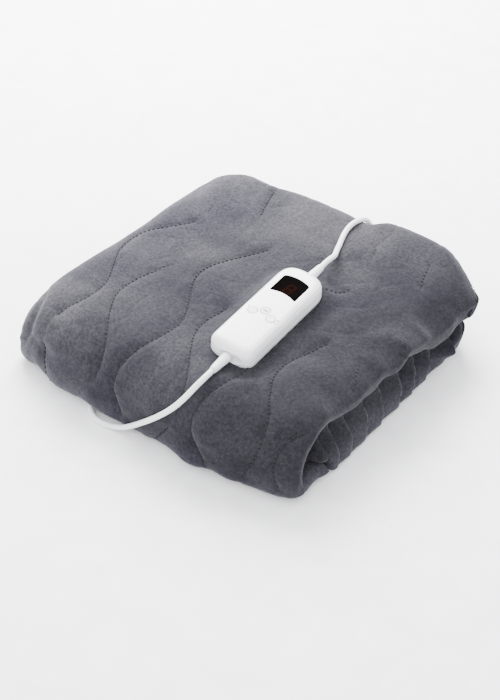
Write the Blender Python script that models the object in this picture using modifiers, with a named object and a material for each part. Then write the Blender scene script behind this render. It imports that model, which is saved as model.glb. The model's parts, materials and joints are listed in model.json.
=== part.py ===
"""Folded electric heated throw with an in-line handset, a pull-out connector and a mains lead.

The throw is one quilt of two fleece skins round a heating layer. It is pleated five plies deep across X
and then folded in four along Y, so that its front edge is one big roll. Units are metres, +Z is up.
"""
import math

import bmesh
import bpy
from mathutils import Euler, Matrix, Vector

# ---- folded throw -------------------------------------------------------------------------------
FOLDED_LENGTH = 0.343
FOLDED_DEPTH = 0.3180
FOLD_CENTRE = -0.0062
TOP_OVERHANG = 0.0124
PLY_COUNT = 5
PLY_PITCH = 0.0036
SKIN = 0.0011
HEATING_LAYER = 0.0005
GAP = 0.0003
RUN_GAP = 0.0005
FRONT_LIFT = 0.0070
PLEAT_STEPS = 3
ROLL_STEPS = 7
FOLD_STEPS = 5
INNER_ROLL_SETBACK = 0.0143
BOTTOM_RUN_FRONT = -0.050

# ---- handset ------------------------------------------------------------------------------------
HANDSET_TOP_AT = Vector((0.055, -0.043, 0.1016))
HANDSET_YAW = math.radians(4.0)
HANDSET_ROLL = math.radians(5.5)
HANDSET_PITCH = math.radians(4.0)
HANDSET_LENGTH = 0.130
HANDSET_WIDTH = 0.047
HANDSET_HEIGHT = 0.022
PARTING = 0.010
WALL = 0.002
DISPLAY_END = (0.022, 2.8)
LEAD_END = (0.013, 3.2)
EDGE_ROUNDING = 0.005
WINDOW_WIDTH = 0.028
WINDOW_FROM = 0.0203
WINDOW_TO = 0.0453
WINDOW_BULGE = 0.003
WINDOW_THICKNESS = 0.0016
KEY_RADIUS = 0.0048
KEY_PROUD = 0.0008
KEY_TRAVEL = 0.0008
KEYS = {"left": (-0.010, -0.012), "centre": (0.0, -0.006), "right": (0.010, -0.012)}
BOARD_SIZE = (0.030, 0.100, 0.0016)
BOARD_BOTTOM = 0.005
SCREW_AT = (0.0180, 0.046)

# ---- connector under the front roll ---------------------------------------------------------------
CONNECTOR_AT = Vector((0.053, -0.086, 0.008))
CONNECTOR_SIZE = (0.030, 0.026, 0.012)
NOSE_SIZE = (0.012, 0.018, 0.008)
SOCKET_SIZE = (0.026, 0.033, 0.0146)
CONTACT_PITCH = 0.0052
PIN_RADIUS = 0.0010
PIN_LENGTH = 0.009

# ---- cords ----------------------------------------------------------------------------------------
CORD_DIAMETER = 0.0055
RELIEF_LENGTH = 0.022
CONNECTOR_RELIEF = 0.017
STRAIGHT_OUT = 0.0115
CORD_STEP = 0.011
COIL_CENTRE = Vector((0.060, 0.1985, 0.0018))
COIL_MEAN_RADIUS = 0.028
COIL_SECTION = 0.0165
TIE_WIDTH = 0.006
TIE_THICKNESS = 0.0008
TIE_SLACK = 0.0007
PLUG_AT = Vector((-0.055, 0.1785, 0.0))
PLUG_SIZE = (0.046, 0.048, 0.018)

LEAD_ROUTE = [
    (0.0590, -0.1490, 0.0800), (0.0570, -0.1562, 0.0752), (0.0537, -0.1618, 0.0691),
    (0.0490, -0.1662, 0.0622), (0.0428, -0.1694, 0.0548), (0.0350, -0.1718, 0.0468),
    (0.0256, -0.1735, 0.0380), (0.0141, -0.1747, 0.0280), (0.0015, -0.1752, 0.0175),
    (-0.0115, -0.1758, 0.0082), (-0.0240, -0.1773, 0.0040), (-0.0350, -0.1786, 0.0030),
    (-0.0448, -0.1780, 0.0030), (-0.0538, -0.1735, 0.0030), (-0.0603, -0.1658, 0.0030),
    (-0.0632, -0.1560, 0.0030), (-0.0630, -0.1450, 0.0030), (-0.0585, -0.1345, 0.0030),
    (-0.0515, -0.1245, 0.0031), (-0.0425, -0.1145, 0.0034), (-0.0353, -0.1062, 0.0042),
    (-0.0290, -0.0985, 0.0052), (-0.0230, -0.0922, 0.0064), (-0.0150, -0.0877, 0.0076),
]
MAINS_ROUTE = [
    (0.0466, 0.0640, 0.0953), (0.0438, 0.0718, 0.0920), (0.0392, 0.0800, 0.0888),
    (0.0345, 0.0890, 0.0862), (0.0298, 0.0990, 0.0847), (0.0250, 0.1095, 0.0840),
    (0.0208, 0.1205, 0.0838), (0.0182, 0.1310, 0.0836), (0.0173, 0.1400, 0.0830),
    (0.0172, 0.1490, 0.0812), (0.0168, 0.1570, 0.0783), (0.0168, 0.1640, 0.0728),
    (0.0172, 0.1688, 0.0652), (0.0180, 0.1710, 0.0562), (0.0198, 0.1714, 0.0472),
    (0.0235, 0.1708, 0.0382), (0.0295, 0.1693, 0.0295), (0.0375, 0.1672, 0.0222),
]
TAIL_ROUTE = [(0.0203, 0.1862, 0.0046), (0.0160, 0.1824, 0.0047), (0.0105, 0.1799, 0.0050),
              (0.0050, 0.1787, 0.0056)]

SCENE_UP = Vector((0.0, 0.0, 1.0))


# ---- helpers ----------------------------------------------------------------------------------------
def clear_scene():
    for old in list(bpy.data.objects):
        bpy.data.objects.remove(old, do_unlink=True)


def make_collection(name):
    collection = bpy.data.collections.new(name)
    bpy.context.scene.collection.children.link(collection)
    return collection


def principled(name, colour, roughness, metallic=0.0):
    material = bpy.data.materials.new(name)
    material.use_nodes = True
    shader = material.node_tree.nodes["Principled BSDF"]
    shader.inputs["Base Color"].default_value = (*colour, 1.0)
    shader.inputs["Roughness"].default_value = roughness
    shader.inputs["Metallic"].default_value = metallic
    return material


def add_object(name, mesh, collection, material=None, parent=None, at=(0.0, 0.0, 0.0)):
    item = bpy.data.objects.new(name, mesh)
    collection.objects.link(item)
    item.location = at
    item.parent = parent
    if material is not None:
        item.data.materials.append(material)
    return item


def empty(name, collection, matrix, parent=None):
    item = bpy.data.objects.new(name, None)
    collection.objects.link(item)
    item.parent = parent
    item.matrix_local = matrix
    return item


def mesh_from(name, build):
    shape = bmesh.new()
    build(shape)
    bmesh.ops.recalc_face_normals(shape, faces=shape.faces)
    mesh = bpy.data.meshes.new(name)
    shape.to_mesh(mesh)
    shape.free()
    return mesh


def box_mesh(name, size, centre=(0.0, 0.0, 0.0)):
    def build(shape):
        placing = Matrix.Translation(centre) @ Matrix.Diagonal((*size, 1.0))
        bmesh.ops.create_cube(shape, size=1.0, matrix=placing)
    return mesh_from(name, build)


def cylinder_mesh(name, radius, start, end, axis="Z", segments=20, at=(0.0, 0.0)):
    """A round bar along one axis, from start to end, with its centre line at two offsets."""
    turn = {"Z": Matrix.Identity(4), "Y": Matrix.Rotation(-math.pi / 2, 4, "X"),
            "X": Matrix.Rotation(math.pi / 2, 4, "Y")}[axis]
    middle = (start + end) / 2
    centre = {"Z": (at[0], at[1], middle), "Y": (at[0], middle, at[1]), "X": (middle, at[0], at[1])}[axis]

    def build(shape):
        bmesh.ops.create_cone(shape, cap_ends=True, segments=segments, radius1=radius,
                              radius2=radius, depth=end - start, matrix=Matrix.Translation(centre) @ turn)
    return mesh_from(name, build)


def plate_mesh(name, outline, bottom, top, collection):
    """A flat outline in XY, filled and raised between two heights, as one welded mesh."""
    curve = bpy.data.curves.new(name + "_outline", "CURVE")
    curve.dimensions = "2D"
    curve.fill_mode = "BOTH"
    curve.extrude = (top - bottom) / 2
    loops = outline if isinstance(outline[0], list) else [outline]
    for loop in loops:
        spline = curve.splines.new("POLY")
        spline.points.add(len(loop) - 1)
        for point, (x, y) in zip(spline.points, loop):
            point.co = (x, y, 0.0, 1.0)
        spline.use_cyclic_u = True
    guide = bpy.data.objects.new(name + "_outline", curve)
    collection.objects.link(guide)
    mesh = converted(guide, name)
    mesh.transform(Matrix.Translation((0.0, 0.0, (top + bottom) / 2)))
    return mesh


def converted(guide, name):
    """The welded mesh of a curve object, which is then removed."""
    graph = bpy.context.evaluated_depsgraph_get()
    mesh = bpy.data.meshes.new_from_object(guide.evaluated_get(graph))
    mesh.name = name
    bpy.data.objects.remove(guide, do_unlink=True)
    shape = bmesh.new()
    shape.from_mesh(mesh)
    bmesh.ops.remove_doubles(shape, verts=shape.verts, dist=0.00001)
    bmesh.ops.recalc_face_normals(shape, faces=shape.faces)
    shape.to_mesh(mesh)
    shape.free()
    return mesh


def turned_mesh(name, profile, segments=24):
    """A solid of revolution about Z from (radius, height) points, the first and last on the axis."""
    def build(shape):
        ring = [shape.verts.new((radius, 0.0, height)) for radius, height in profile]
        edges = [shape.edges.new(pair) for pair in zip(ring, ring[1:])]
        bmesh.ops.spin(shape, geom=ring + edges, cent=(0, 0, 0), axis=SCENE_UP, angle=2 * math.pi,
                       steps=segments, use_merge=True)
        bmesh.ops.remove_doubles(shape, verts=shape.verts, dist=0.00001)
    return mesh_from(name, build)


def round_edges(item, width, segments=2, angle=40.0):
    bevel = item.modifiers.new("rounding", "BEVEL")
    bevel.width = width
    bevel.segments = segments
    bevel.limit_method = "ANGLE"
    bevel.angle_limit = math.radians(angle)


def cut(item, mesh, cutters, operation="DIFFERENCE"):
    """Cuts, or joins, a mesh in the item's own frame."""
    tool = add_object(item.name + "_tool", mesh, cutters, parent=item)
    tool.hide_render = True
    tool.display_type = "WIRE"
    boolean = item.modifiers.new(operation.lower(), "BOOLEAN")
    boolean.operation = operation
    boolean.solver = "EXACT"
    boolean.object = tool


def shade(item, angle=35.0):
    item.data.shade_smooth()
    item.data.set_sharp_from_angle(angle=math.radians(angle))


def smooth_points(route, step):
    """Evenly spaced points on a smooth curve through the route's own points."""
    points = [Vector(point) for point in route]
    ends = [2 * points[0] - points[1]] + points + [2 * points[-1] - points[-2]]
    fine = []
    for a, b, c, d in zip(ends, ends[1:], ends[2:], ends[3:]):
        for index in range(16):
            t = index / 16
            fine.append(0.5 * (2 * b + (c - a) * t + (2 * a - 5 * b + 4 * c - d) * t ** 2
                               + (3 * b - 3 * c + d - a) * t ** 3))
    fine.append(points[-1])
    travelled = [0.0]
    for a, b in zip(fine, fine[1:]):
        travelled.append(travelled[-1] + (b - a).length)
    count = max(2, round(travelled[-1] / step))
    even = []
    place = 0
    for index in range(count + 1):
        wanted = travelled[-1] * index / count
        while place < len(fine) - 2 and travelled[place + 1] < wanted:
            place += 1
        share = (wanted - travelled[place]) / (travelled[place + 1] - travelled[place])
        even.append(fine[place].lerp(fine[place + 1], share))
    return even


def cord_tube(name, route, collection, material):
    curve = bpy.data.curves.new(name, "CURVE")
    curve.dimensions = "3D"
    curve.bevel_depth = CORD_DIAMETER / 2
    curve.bevel_resolution = 2
    curve.use_fill_caps = True
    points = smooth_points(route, CORD_STEP)
    spline = curve.splines.new("POLY")
    spline.points.add(len(points) - 1)
    for point, place in zip(spline.points, points):
        point.co = (*place, 1.0)
    return add_object(name, curve, collection, material)


# ---- the folded throw ---------------------------------------------------------------------------------
def arc(centre, radius, start, end, steps):
    """Stations (y, z, normal y, normal z) along an arc, each normal on the left of the way along it."""
    turn = 1.0 if end > start else -1.0
    stations = []
    for index in range(steps + 1):
        angle = math.radians(start + (end - start) * index / steps)
        out_y = math.cos(angle)
        out_z = math.sin(angle)
        stations.append((centre[0] + radius * out_y, centre[1] + radius * out_z,
                         -turn * out_y, -turn * out_z))
    return stations


def fold_path():
    """The way the pleated strip runs: front roll, top, back fold, inner roll, back fold, bottom."""
    half = (PLY_COUNT * PLY_PITCH - GAP) / 2
    pitch = 2 * half + RUN_GAP
    heights = [half + pitch * index for index in range(4)]
    tail = heights[0] + FRONT_LIFT
    roll = (heights[3] - tail) / 2
    fold = pitch / 2
    front = FOLD_CENTRE - FOLDED_DEPTH / 2 + roll + half
    back = FOLD_CENTRE + FOLDED_DEPTH / 2 - fold - half
    inner = front + INNER_ROLL_SETBACK
    stations = arc((front, tail + roll), roll, 270, 90, ROLL_STEPS)
    stations += arc((back + TOP_OVERHANG, heights[3] - fold), fold, 90, -90, FOLD_STEPS)
    stations += arc((inner, heights[2] - fold), fold, 90, 270, FOLD_STEPS)
    stations += arc((back, heights[1] - fold), fold, 90, -90, FOLD_STEPS)
    stations.append((BOTTOM_RUN_FRONT, heights[0], 0.0, -1.0))
    return stations


def pleated_side(offset):
    """One side of a sheet across the strip: (x, height) along five plies with their turned edges."""
    bend = PLY_PITCH / 2
    reach = FOLDED_LENGTH / 2 - bend - SKIN - GAP - HEATING_LAYER / 2
    first = -PLY_PITCH * (PLY_COUNT - 1) / 2
    points = [(-reach, first + offset)]
    for ply in range(PLY_COUNT - 1):
        side = 1.0 if ply % 2 == 0 else -1.0
        radius = bend - side * offset
        middle = first + ply * PLY_PITCH + bend
        for index in range(PLEAT_STEPS + 1):
            angle = math.pi * index / PLEAT_STEPS - math.pi / 2
            points.append((side * (reach + radius * math.cos(angle)), middle + radius * math.sin(angle)))
    last = 1.0 if PLY_COUNT % 2 else -1.0
    points.append((last * reach, first + (PLY_COUNT - 1) * PLY_PITCH + last * offset))
    return points


def folded_sheet(name, middle, thickness, collection, material):
    """A sheet of the quilt, at its own depth in each ply, swept along the fold path."""
    outline = pleated_side(middle + thickness / 2) + pleated_side(middle - thickness / 2)[::-1]
    stations = fold_path()

    def build(shape):
        rings = []
        for y, z, normal_y, normal_z in stations:
            rings.append([shape.verts.new((x, y + normal_y * height, z + normal_z * height))
                          for x, height in outline])
        count = len(outline)
        for ring, following in zip(rings, rings[1:]):
            for index in range(count):
                after = (index + 1) % count
                shape.faces.new((ring[index], ring[after], following[after], following[index]))
        for ring in (rings[0], rings[-1]):
            for index in range(count // 2 - 1):
                shape.faces.new((ring[index], ring[index + 1], ring[-index - 2], ring[-index - 1]))
    return add_object(name, mesh_from(name, build), collection, material)


def build_throw(parts, fleece, carrier):
    skin_at = HEATING_LAYER / 2 + GAP + SKIN / 2
    folded_sheet("throw_face_fleece", skin_at, SKIN, parts, fleece)
    folded_sheet("throw_heating_layer", 0.0, HEATING_LAYER, parts, carrier)
    folded_sheet("throw_back_fleece", -skin_at, SKIN, parts, fleece)


# ---- the handset ----------------------------------------------------------------------------------------
def handset_matrix():
    tilt = Euler((HANDSET_PITCH, 0.0, 0.0)).to_matrix().to_4x4()
    roll = Euler((0.0, HANDSET_ROLL, 0.0)).to_matrix().to_4x4()
    yaw = Euler((0.0, 0.0, HANDSET_YAW)).to_matrix().to_4x4()
    turn = yaw @ roll @ tilt
    return Matrix.Translation(HANDSET_TOP_AT) @ turn @ Matrix.Translation((0.0, 0.0, -HANDSET_HEIGHT))


def handset_outline(inset, steps=7):
    """A long box seen from above, each end rounded as a superellipse; the display end is rounder."""
    half = HANDSET_WIDTH / 2 - inset
    points = []
    for sign, (depth, power) in ((1.0, DISPLAY_END), (-1.0, LEAD_END)):
        straight = HANDSET_LENGTH / 2 - depth
        reach = depth - inset
        for index in range(2 * steps + 1):
            angle = math.pi * index / (2 * steps)
            across = abs(math.cos(angle)) ** (2 / power) * math.copysign(1.0, math.cos(angle))
            along = abs(math.sin(angle)) ** (2 / power)
            points.append((sign * half * across, sign * (straight + reach * along)))
    return points


def window_outline(inset, steps=8):
    half = WINDOW_WIDTH / 2 - inset
    lower = []
    upper = []
    for index in range(steps + 1):
        x = half * (2 * index / steps - 1)
        bulge = WINDOW_BULGE * (1 - (x / half) ** 2)
        lower.append((x, WINDOW_FROM + inset + bulge))
        upper.append((x, WINDOW_TO - inset + bulge))
    return lower + upper[::-1]


def build_top_shell(parts, cutters, frame, plastic):
    mesh = plate_mesh("handset_top_shell", handset_outline(0.0), PARTING + GAP / 2, HANDSET_HEIGHT, cutters)
    shell = add_object("handset_top_shell", mesh, parts, plastic, frame)
    round_edges(shell, EDGE_ROUNDING, 3)
    shell.modifiers["rounding"].limit_method = "WEIGHT"
    weight_rim(mesh, HANDSET_HEIGHT)
    roof = HANDSET_HEIGHT - WALL
    cut(shell, plate_mesh("top_hollow", handset_outline(WALL), 0.0, roof, cutters), cutters)
    for x in (-SCREW_AT[0], SCREW_AT[0]):
        for y in (-SCREW_AT[1], SCREW_AT[1]):
            boss = cylinder_mesh("boss", 0.0026, 0.0031, roof + 0.0005, segments=12, at=(x, y))
            cut(shell, boss, cutters, "UNION")
            cut(shell, cylinder_mesh("thread", 0.0014, -0.001, 0.012, segments=10, at=(x, y)), cutters)
    window_hole = plate_mesh("window_hole", window_outline(-GAP), roof - 0.002, HANDSET_HEIGHT + 0.002, cutters)
    cut(shell, window_hole, cutters)
    for place in KEYS.values():
        hole = cylinder_mesh("key_hole", KEY_RADIUS + GAP, roof - 0.001, HANDSET_HEIGHT + 0.001, at=place)
        cut(shell, hole, cutters)
    cut_cord_exits(shell, cutters)
    shade(shell)


def build_bottom_shell(parts, cutters, frame, plastic):
    mesh = plate_mesh("handset_bottom_shell", handset_outline(0.0), 0.0, PARTING - GAP / 2, cutters)
    shell = add_object("handset_bottom_shell", mesh, parts, plastic, frame)
    round_edges(shell, EDGE_ROUNDING, 3)
    shell.modifiers["rounding"].limit_method = "WEIGHT"
    weight_rim(mesh, 0.0)
    cut(shell, plate_mesh("bottom_hollow", handset_outline(WALL), WALL, HANDSET_HEIGHT, cutters), cutters)
    for y in (-0.030, 0.030):
        rib = box_mesh("rib", (0.040, 0.002, 0.0033), (0.0, y, 0.0031))
        cut(shell, rib, cutters, "UNION")
    for x in (-SCREW_AT[0], SCREW_AT[0]):
        for y in (-SCREW_AT[1], SCREW_AT[1]):
            cut(shell, cylinder_mesh("screw_hole", 0.0015, -0.001, 0.004, segments=10, at=(x, y)), cutters)
            cut(shell, cylinder_mesh("counterbore", 0.0026, -0.001, 0.0011, segments=12, at=(x, y)), cutters)
    cut_cord_exits(shell, cutters)
    shade(shell)


def weight_rim(mesh, height):
    """Marks the outline's edges at one height for the bevel."""
    weights = mesh.attributes.new("bevel_weight_edge", "FLOAT", "EDGE")
    for edge in mesh.edges:
        ends = [mesh.vertices[index].co.z for index in edge.vertices]
        if all(abs(z - height) < 0.0001 for z in ends):
            weights.data[edge.index].value = 1.0


def cut_cord_exits(shell, cutters):
    for side in (-1.0, 1.0):
        middle = side * HANDSET_LENGTH / 2
        hole = cylinder_mesh("exit", 0.0043, middle - 0.006, middle + 0.006, "Y", 16, (0.0, PARTING))
        cut(shell, hole, cutters)


def build_reliefs(parts, frame, rubber):
    """Tapered strain reliefs, each held by a collar inside the shells."""
    profile = [(0.0, -0.0055), (0.0056, -0.0055), (0.0056, -0.0026), (0.0039, -0.0026), (0.0039, 0.0005),
               (0.0050, 0.0005), (0.0048, 0.0030), (0.0036, RELIEF_LENGTH - 0.001),
               (0.0032, RELIEF_LENGTH), (0.0, RELIEF_LENGTH)]
    for name, side in (("strain_relief_mains", 1.0), ("strain_relief_lead", -1.0)):
        mesh = turned_mesh(name, profile)
        relief = add_object(name, mesh, parts, rubber, frame, (0.0, side * HANDSET_LENGTH / 2, PARTING))
        relief.rotation_euler = (-side * math.pi / 2, 0.0, 0.0)
        shade(relief)


def build_keys(parts, frame, plastic, switch_material):
    board_top = BOARD_BOTTOM + BOARD_SIZE[2]
    flange_top = HANDSET_HEIGHT - WALL - GAP
    switch_top = board_top + GAP + 0.005
    cap = HANDSET_HEIGHT + KEY_PROUD
    profile = [(0.0, cap), (0.0038, cap), (KEY_RADIUS, cap - 0.0006), (KEY_RADIUS, flange_top),
               (0.0056, flange_top), (0.0056, flange_top - 0.001), (0.0020, flange_top - 0.001),
               (0.0020, switch_top + KEY_TRAVEL + 0.0001), (0.0, switch_top + KEY_TRAVEL + 0.0001)]
    for side, (x, y) in KEYS.items():
        key = add_object("key_" + side, turned_mesh("key_" + side, profile), parts, plastic, frame, (x, y, 0.0))
        shade(key)
        switch_profile = [(0.0, switch_top), (0.0016, switch_top), (0.0016, board_top + 0.0038),
                          (0.0041, board_top + 0.0038), (0.0041, board_top + GAP), (0.0, board_top + GAP)]
        mesh = turned_mesh("tact_switch_" + side, switch_profile, 4)
        switch = add_object("tact_switch_" + side, mesh, parts, switch_material, frame, (x, y, 0.0))
        switch.rotation_euler = (0.0, 0.0, math.pi / 4)


def build_electronics(parts, frame, looks):
    board_top = BOARD_BOTTOM + BOARD_SIZE[2]
    seat = board_top + GAP
    board = box_mesh("circuit_board", BOARD_SIZE, (0.0, 0.0, BOARD_BOTTOM + BOARD_SIZE[2] / 2))
    add_object("circuit_board", board, parts, looks["board"], frame)
    display_top = HANDSET_HEIGHT - WINDOW_THICKNESS - GAP
    display_y = (WINDOW_FROM + WINDOW_TO) / 2
    display = box_mesh("display_module", (0.0126, 0.019, display_top - seat),
                       (0.0, display_y, (display_top + seat) / 2))
    add_object("display_module", display, parts, looks["black"], frame)
    capacitor = box_mesh("film_capacitor", (0.006, 0.018, 0.011), (0.008, -0.036, seat + 0.0055))
    add_object("film_capacitor", capacitor, parts, looks["capacitor"], frame)
    triac = box_mesh("triac", (0.0045, 0.010, 0.0092), (-0.009, -0.036, seat + 0.0046))
    add_object("triac", triac, parts, looks["black"], frame)
    fuse = cylinder_mesh("board_fuse", 0.0026, -0.046, -0.026, "Y", 14, (0.0, seat + 0.0026))
    add_object("board_fuse", fuse, parts, looks["glass"], frame)
    for name, y in (("cord_clamp_mains", 0.0535), ("cord_clamp_lead", -0.0535)):
        clamp = box_mesh(name, (0.014, 0.004, 0.0035), (0.0, y, 0.0157))
        add_object(name, clamp, parts, looks["steel"], frame)


def build_window(parts, cutters, frame, glass):
    mesh = plate_mesh("display_window", window_outline(0.0), HANDSET_HEIGHT - WINDOW_THICKNESS,
                      HANDSET_HEIGHT, cutters)
    add_object("display_window", mesh, parts, glass, frame)


def build_screws(parts, frame, steel):
    profile = [(0.0, 0.0085), (0.0011, 0.0080), (0.0011, 0.0011), (0.0023, 0.0008), (0.0023, 0.0001),
               (0.0, 0.0001)]
    number = 0
    for x in (-SCREW_AT[0], SCREW_AT[0]):
        for y in (-SCREW_AT[1], SCREW_AT[1]):
            number += 1
            name = "housing_screw_%d" % number
            add_object(name, turned_mesh(name, profile, 10), parts, steel, frame, (x, y, 0.0))


# ---- the pull-out connector ---------------------------------------------------------------------------------
def contact_offsets():
    return [(index - 1) * CONTACT_PITCH for index in range(3)]


def build_connector(parts, cutters, frame, plastic, rubber, brass):
    """The lead's own half: a body, a nose with three contacts and a strain relief."""
    length, width = CONNECTOR_SIZE[:2]
    body = add_object("connector_body", box_mesh("connector_body", CONNECTOR_SIZE, (-length / 2, 0.0, 0.0)),
                      parts, plastic, frame)
    round_edges(body, 0.002, 2)
    nose_length, nose_width, nose_height = NOSE_SIZE
    nose = box_mesh("nose", (nose_length + 0.002, nose_width, nose_height), (nose_length / 2 - 0.001, 0.0, 0.0))
    cut(body, nose, cutters, "UNION")
    for side in (-1.0, 1.0):
        grip = box_mesh("grip", (0.012, 0.002, 0.006), (-length * 0.6, side * width / 2, 0.0))
        cut(body, grip, cutters)
    for y in contact_offsets():
        bore = cylinder_mesh("bore", 0.0020, -0.004, nose_length + 0.001, "X", 12, (y, 0.0))
        cut(body, bore, cutters)
    relief_bore = cylinder_mesh("relief_bore", 0.0043, -length - 0.001, -length + 0.006, "X", 14)
    cut(body, relief_bore, cutters)
    shade(body)
    profile = [(0.0, -0.0055), (0.0040, -0.0055), (0.0040, 0.0003), (0.0048, 0.0003),
               (0.0034, CONNECTOR_RELIEF), (0.0, CONNECTOR_RELIEF)]
    relief = add_object("connector_relief", turned_mesh("connector_relief", profile, 20), parts, rubber,
                        frame, (-length, 0.0, 0.0))
    relief.rotation_euler = (0.0, -math.pi / 2, 0.0)
    shade(relief)
    for number, y in enumerate(contact_offsets(), 1):
        name = "connector_contact_%d" % number
        sleeve = cylinder_mesh(name, 0.0017, -0.0035, nose_length - 0.001, "X", 12)
        contact = add_object(name, sleeve, parts, brass, frame, (0.0, y, 0.0))
        cut(contact, cylinder_mesh("sleeve_bore", 0.0013, 0.0005, nose_length + 0.001, "X", 10), cutters)


def build_socket(parts, cutters, frame, plastic, fleece, brass):
    """The throw's half: a shell with three pins, on a tab sewn to the hem."""
    length, width = SOCKET_SIZE[:2]
    start = 0.0005
    shell = add_object("socket_shell", box_mesh("socket_shell", SOCKET_SIZE, (start + length / 2, 0.0, 0.0)),
                       parts, plastic, frame)
    round_edges(shell, 0.002, 2)
    nose_length, nose_width, nose_height = NOSE_SIZE
    hollow = box_mesh("hollow", (nose_length + 0.002, nose_width + 0.0008, nose_height + 0.0008),
                      (nose_length / 2, 0.0, 0.0))
    cut(shell, hollow, cutters)
    root = nose_length + 0.001
    for y in contact_offsets():
        seat = cylinder_mesh("pin_seat", PIN_RADIUS + GAP, root - 0.001, root + 0.004, "X", 10, (y, 0.0))
        cut(shell, seat, cutters)
    slot = box_mesh("tab_slot", (0.014, 0.010, 0.0022), (0.018, width / 2 - 0.002, -0.0022))
    cut(shell, slot, cutters)
    shade(shell)
    for number, y in enumerate(contact_offsets(), 1):
        name = "socket_pin_%d" % number
        pin = cylinder_mesh(name, PIN_RADIUS, root - PIN_LENGTH, root + 0.0035, "X", 10)
        add_object(name, pin, parts, brass, frame, (0.0, y, 0.0))
    reach = BOTTOM_RUN_FRONT - GAP - CONNECTOR_AT.y
    inner_end = width / 2 - 0.0065
    tab = box_mesh("socket_tab", (0.0134, reach - inner_end, 0.0016), (0.018, (reach + inner_end) / 2, -0.0022))
    add_object("socket_tab", tab, parts, fleece, frame)


def build_label(parts, label):
    label_mesh = box_mesh("care_label", (0.030, 0.024, 0.0004), (-0.085, BOTTOM_RUN_FRONT - 0.0125, 0.0095))
    add_object("care_label", label_mesh, parts, label)


# ---- mains plug and coil -------------------------------------------------------------------
def build_coil(parts, rubber, tie):
    inner = COIL_MEAN_RADIUS - COIL_SECTION / 2
    outer = COIL_MEAN_RADIUS + COIL_SECTION / 2
    side = COIL_SECTION
    corner = CORD_DIAMETER / 2

    def build(shape):
        profile = [(outer - corner, side), (outer, side - corner), (outer, corner), (outer - corner, 0.0),
                   (inner + corner, 0.0), (inner, corner), (inner, side - corner), (inner + corner, side)]
        ring = [shape.verts.new((radius, 0.0, height)) for radius, height in profile]
        edges = [shape.edges.new((a, b)) for a, b in zip(ring, ring[1:] + ring[:1])]
        bmesh.ops.spin(shape, geom=ring + edges, cent=(0, 0, 0), axis=SCENE_UP, angle=2 * math.pi,
                       steps=36, use_merge=True)
        bmesh.ops.remove_doubles(shape, verts=shape.verts, dist=0.00001)
    add_object("mains_coil", mesh_from("mains_coil", build), parts, rubber, at=COIL_CENTRE)
    hole = COIL_SECTION / 2 + TIE_SLACK
    band = hole + TIE_THICKNESS
    frame_outline = [[(-band, -band), (band, -band), (band, band), (-band, band)],
                     [(-hole, -hole), (hole, -hole), (hole, hole), (-hole, hole)]]
    mesh = plate_mesh("cord_tie", frame_outline, -TIE_WIDTH / 2, TIE_WIDTH / 2, parts)
    place = (COIL_CENTRE.x, COIL_CENTRE.y + COIL_MEAN_RADIUS, COIL_CENTRE.z + COIL_SECTION / 2)
    item = add_object("cord_tie", mesh, parts, tie, at=place)
    item.rotation_euler = (0.0, math.pi / 2, 0.0)


def build_plug(parts, cutters, looks):
    """A three-pin plug lying on its back, its pins up and its cord towards +X."""
    length, width, height = PLUG_SIZE
    frame = empty("plug_frame", parts, Matrix.Translation(PLUG_AT))
    split = 0.012
    half_w = width / 2
    nose = length / 2 - 0.012
    outline = [(-length / 2, -half_w), (nose, -half_w), (length / 2, -0.011), (length / 2, 0.011),
               (nose, half_w), (-length / 2, half_w)]
    cover = add_object("plug_cover", plate_mesh("plug_cover", outline, 0.0, split - GAP / 2, cutters), parts,
                       looks["plastic"], frame)
    round_edges(cover, 0.0025, 2)
    base = add_object("plug_base", plate_mesh("plug_base", outline, split + GAP / 2, height, cutters), parts,
                      looks["plastic"], frame)
    round_edges(base, 0.0015, 2)
    cut(cover, cylinder_mesh("cord_bore", 0.0043, length / 2 - 0.008, length / 2 + 0.002, "X", 14,
                             (0.0, 0.006)), cutters)
    cut(cover, cylinder_mesh("screw_bore", 0.0022, -0.001, 0.009, segments=12), cutters)
    screw = cylinder_mesh("plug_screw", 0.0019, 0.0004, 0.0085, segments=12)
    add_object("plug_screw", screw, parts, looks["steel"], frame)
    fuse_hole = box_mesh("fuse_hole", (0.0236 + 2 * GAP, 0.0072 + 2 * GAP, 0.010), (0.0022, 0.0, height))
    cut(base, fuse_hole, cutters)
    fuse = box_mesh("plug_fuse_carrier", (0.0236, 0.0072, 0.0046), (0.0022, 0.0, height - 0.0022))
    add_object("plug_fuse_carrier", fuse, parts, looks["plastic"], frame)
    pins = {"plug_pin_earth": ((0.008, 0.004), (-0.0165, 0.0), 0.0225),
            "plug_pin_live": ((0.004, 0.0063), (0.0055, 0.0111), 0.0177),
            "plug_pin_neutral": ((0.004, 0.0063), (0.0055, -0.0111), 0.0177)}
    for name, ((across, along), (x, y), rise) in pins.items():
        seat = box_mesh("pin_seat", (across + 2 * GAP, along + 2 * GAP, 0.006), (x, y, height))
        cut(base, seat, cutters)
        bottom = height - 0.003 + GAP
        blade = box_mesh(name, (across, along, height + rise - bottom), (x, y, (height + rise + bottom) / 2))
        add_object(name, blade, parts, looks["brass"], frame)
    profile = [(0.0, -0.006), (0.0040, -0.006), (0.0040, 0.0003), (0.0050, 0.0003), (0.0034, 0.021),
               (0.0, 0.021)]
    relief = add_object("plug_relief", turned_mesh("plug_relief", profile, 20), parts, looks["rubber"], frame,
                        (length / 2, 0.0, 0.006))
    relief.rotation_euler = (0.0, math.pi / 2, 0.0)
    shade(relief)
    return PLUG_AT + Vector((length / 2 + 0.021 + GAP, 0.0, 0.006))


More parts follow.
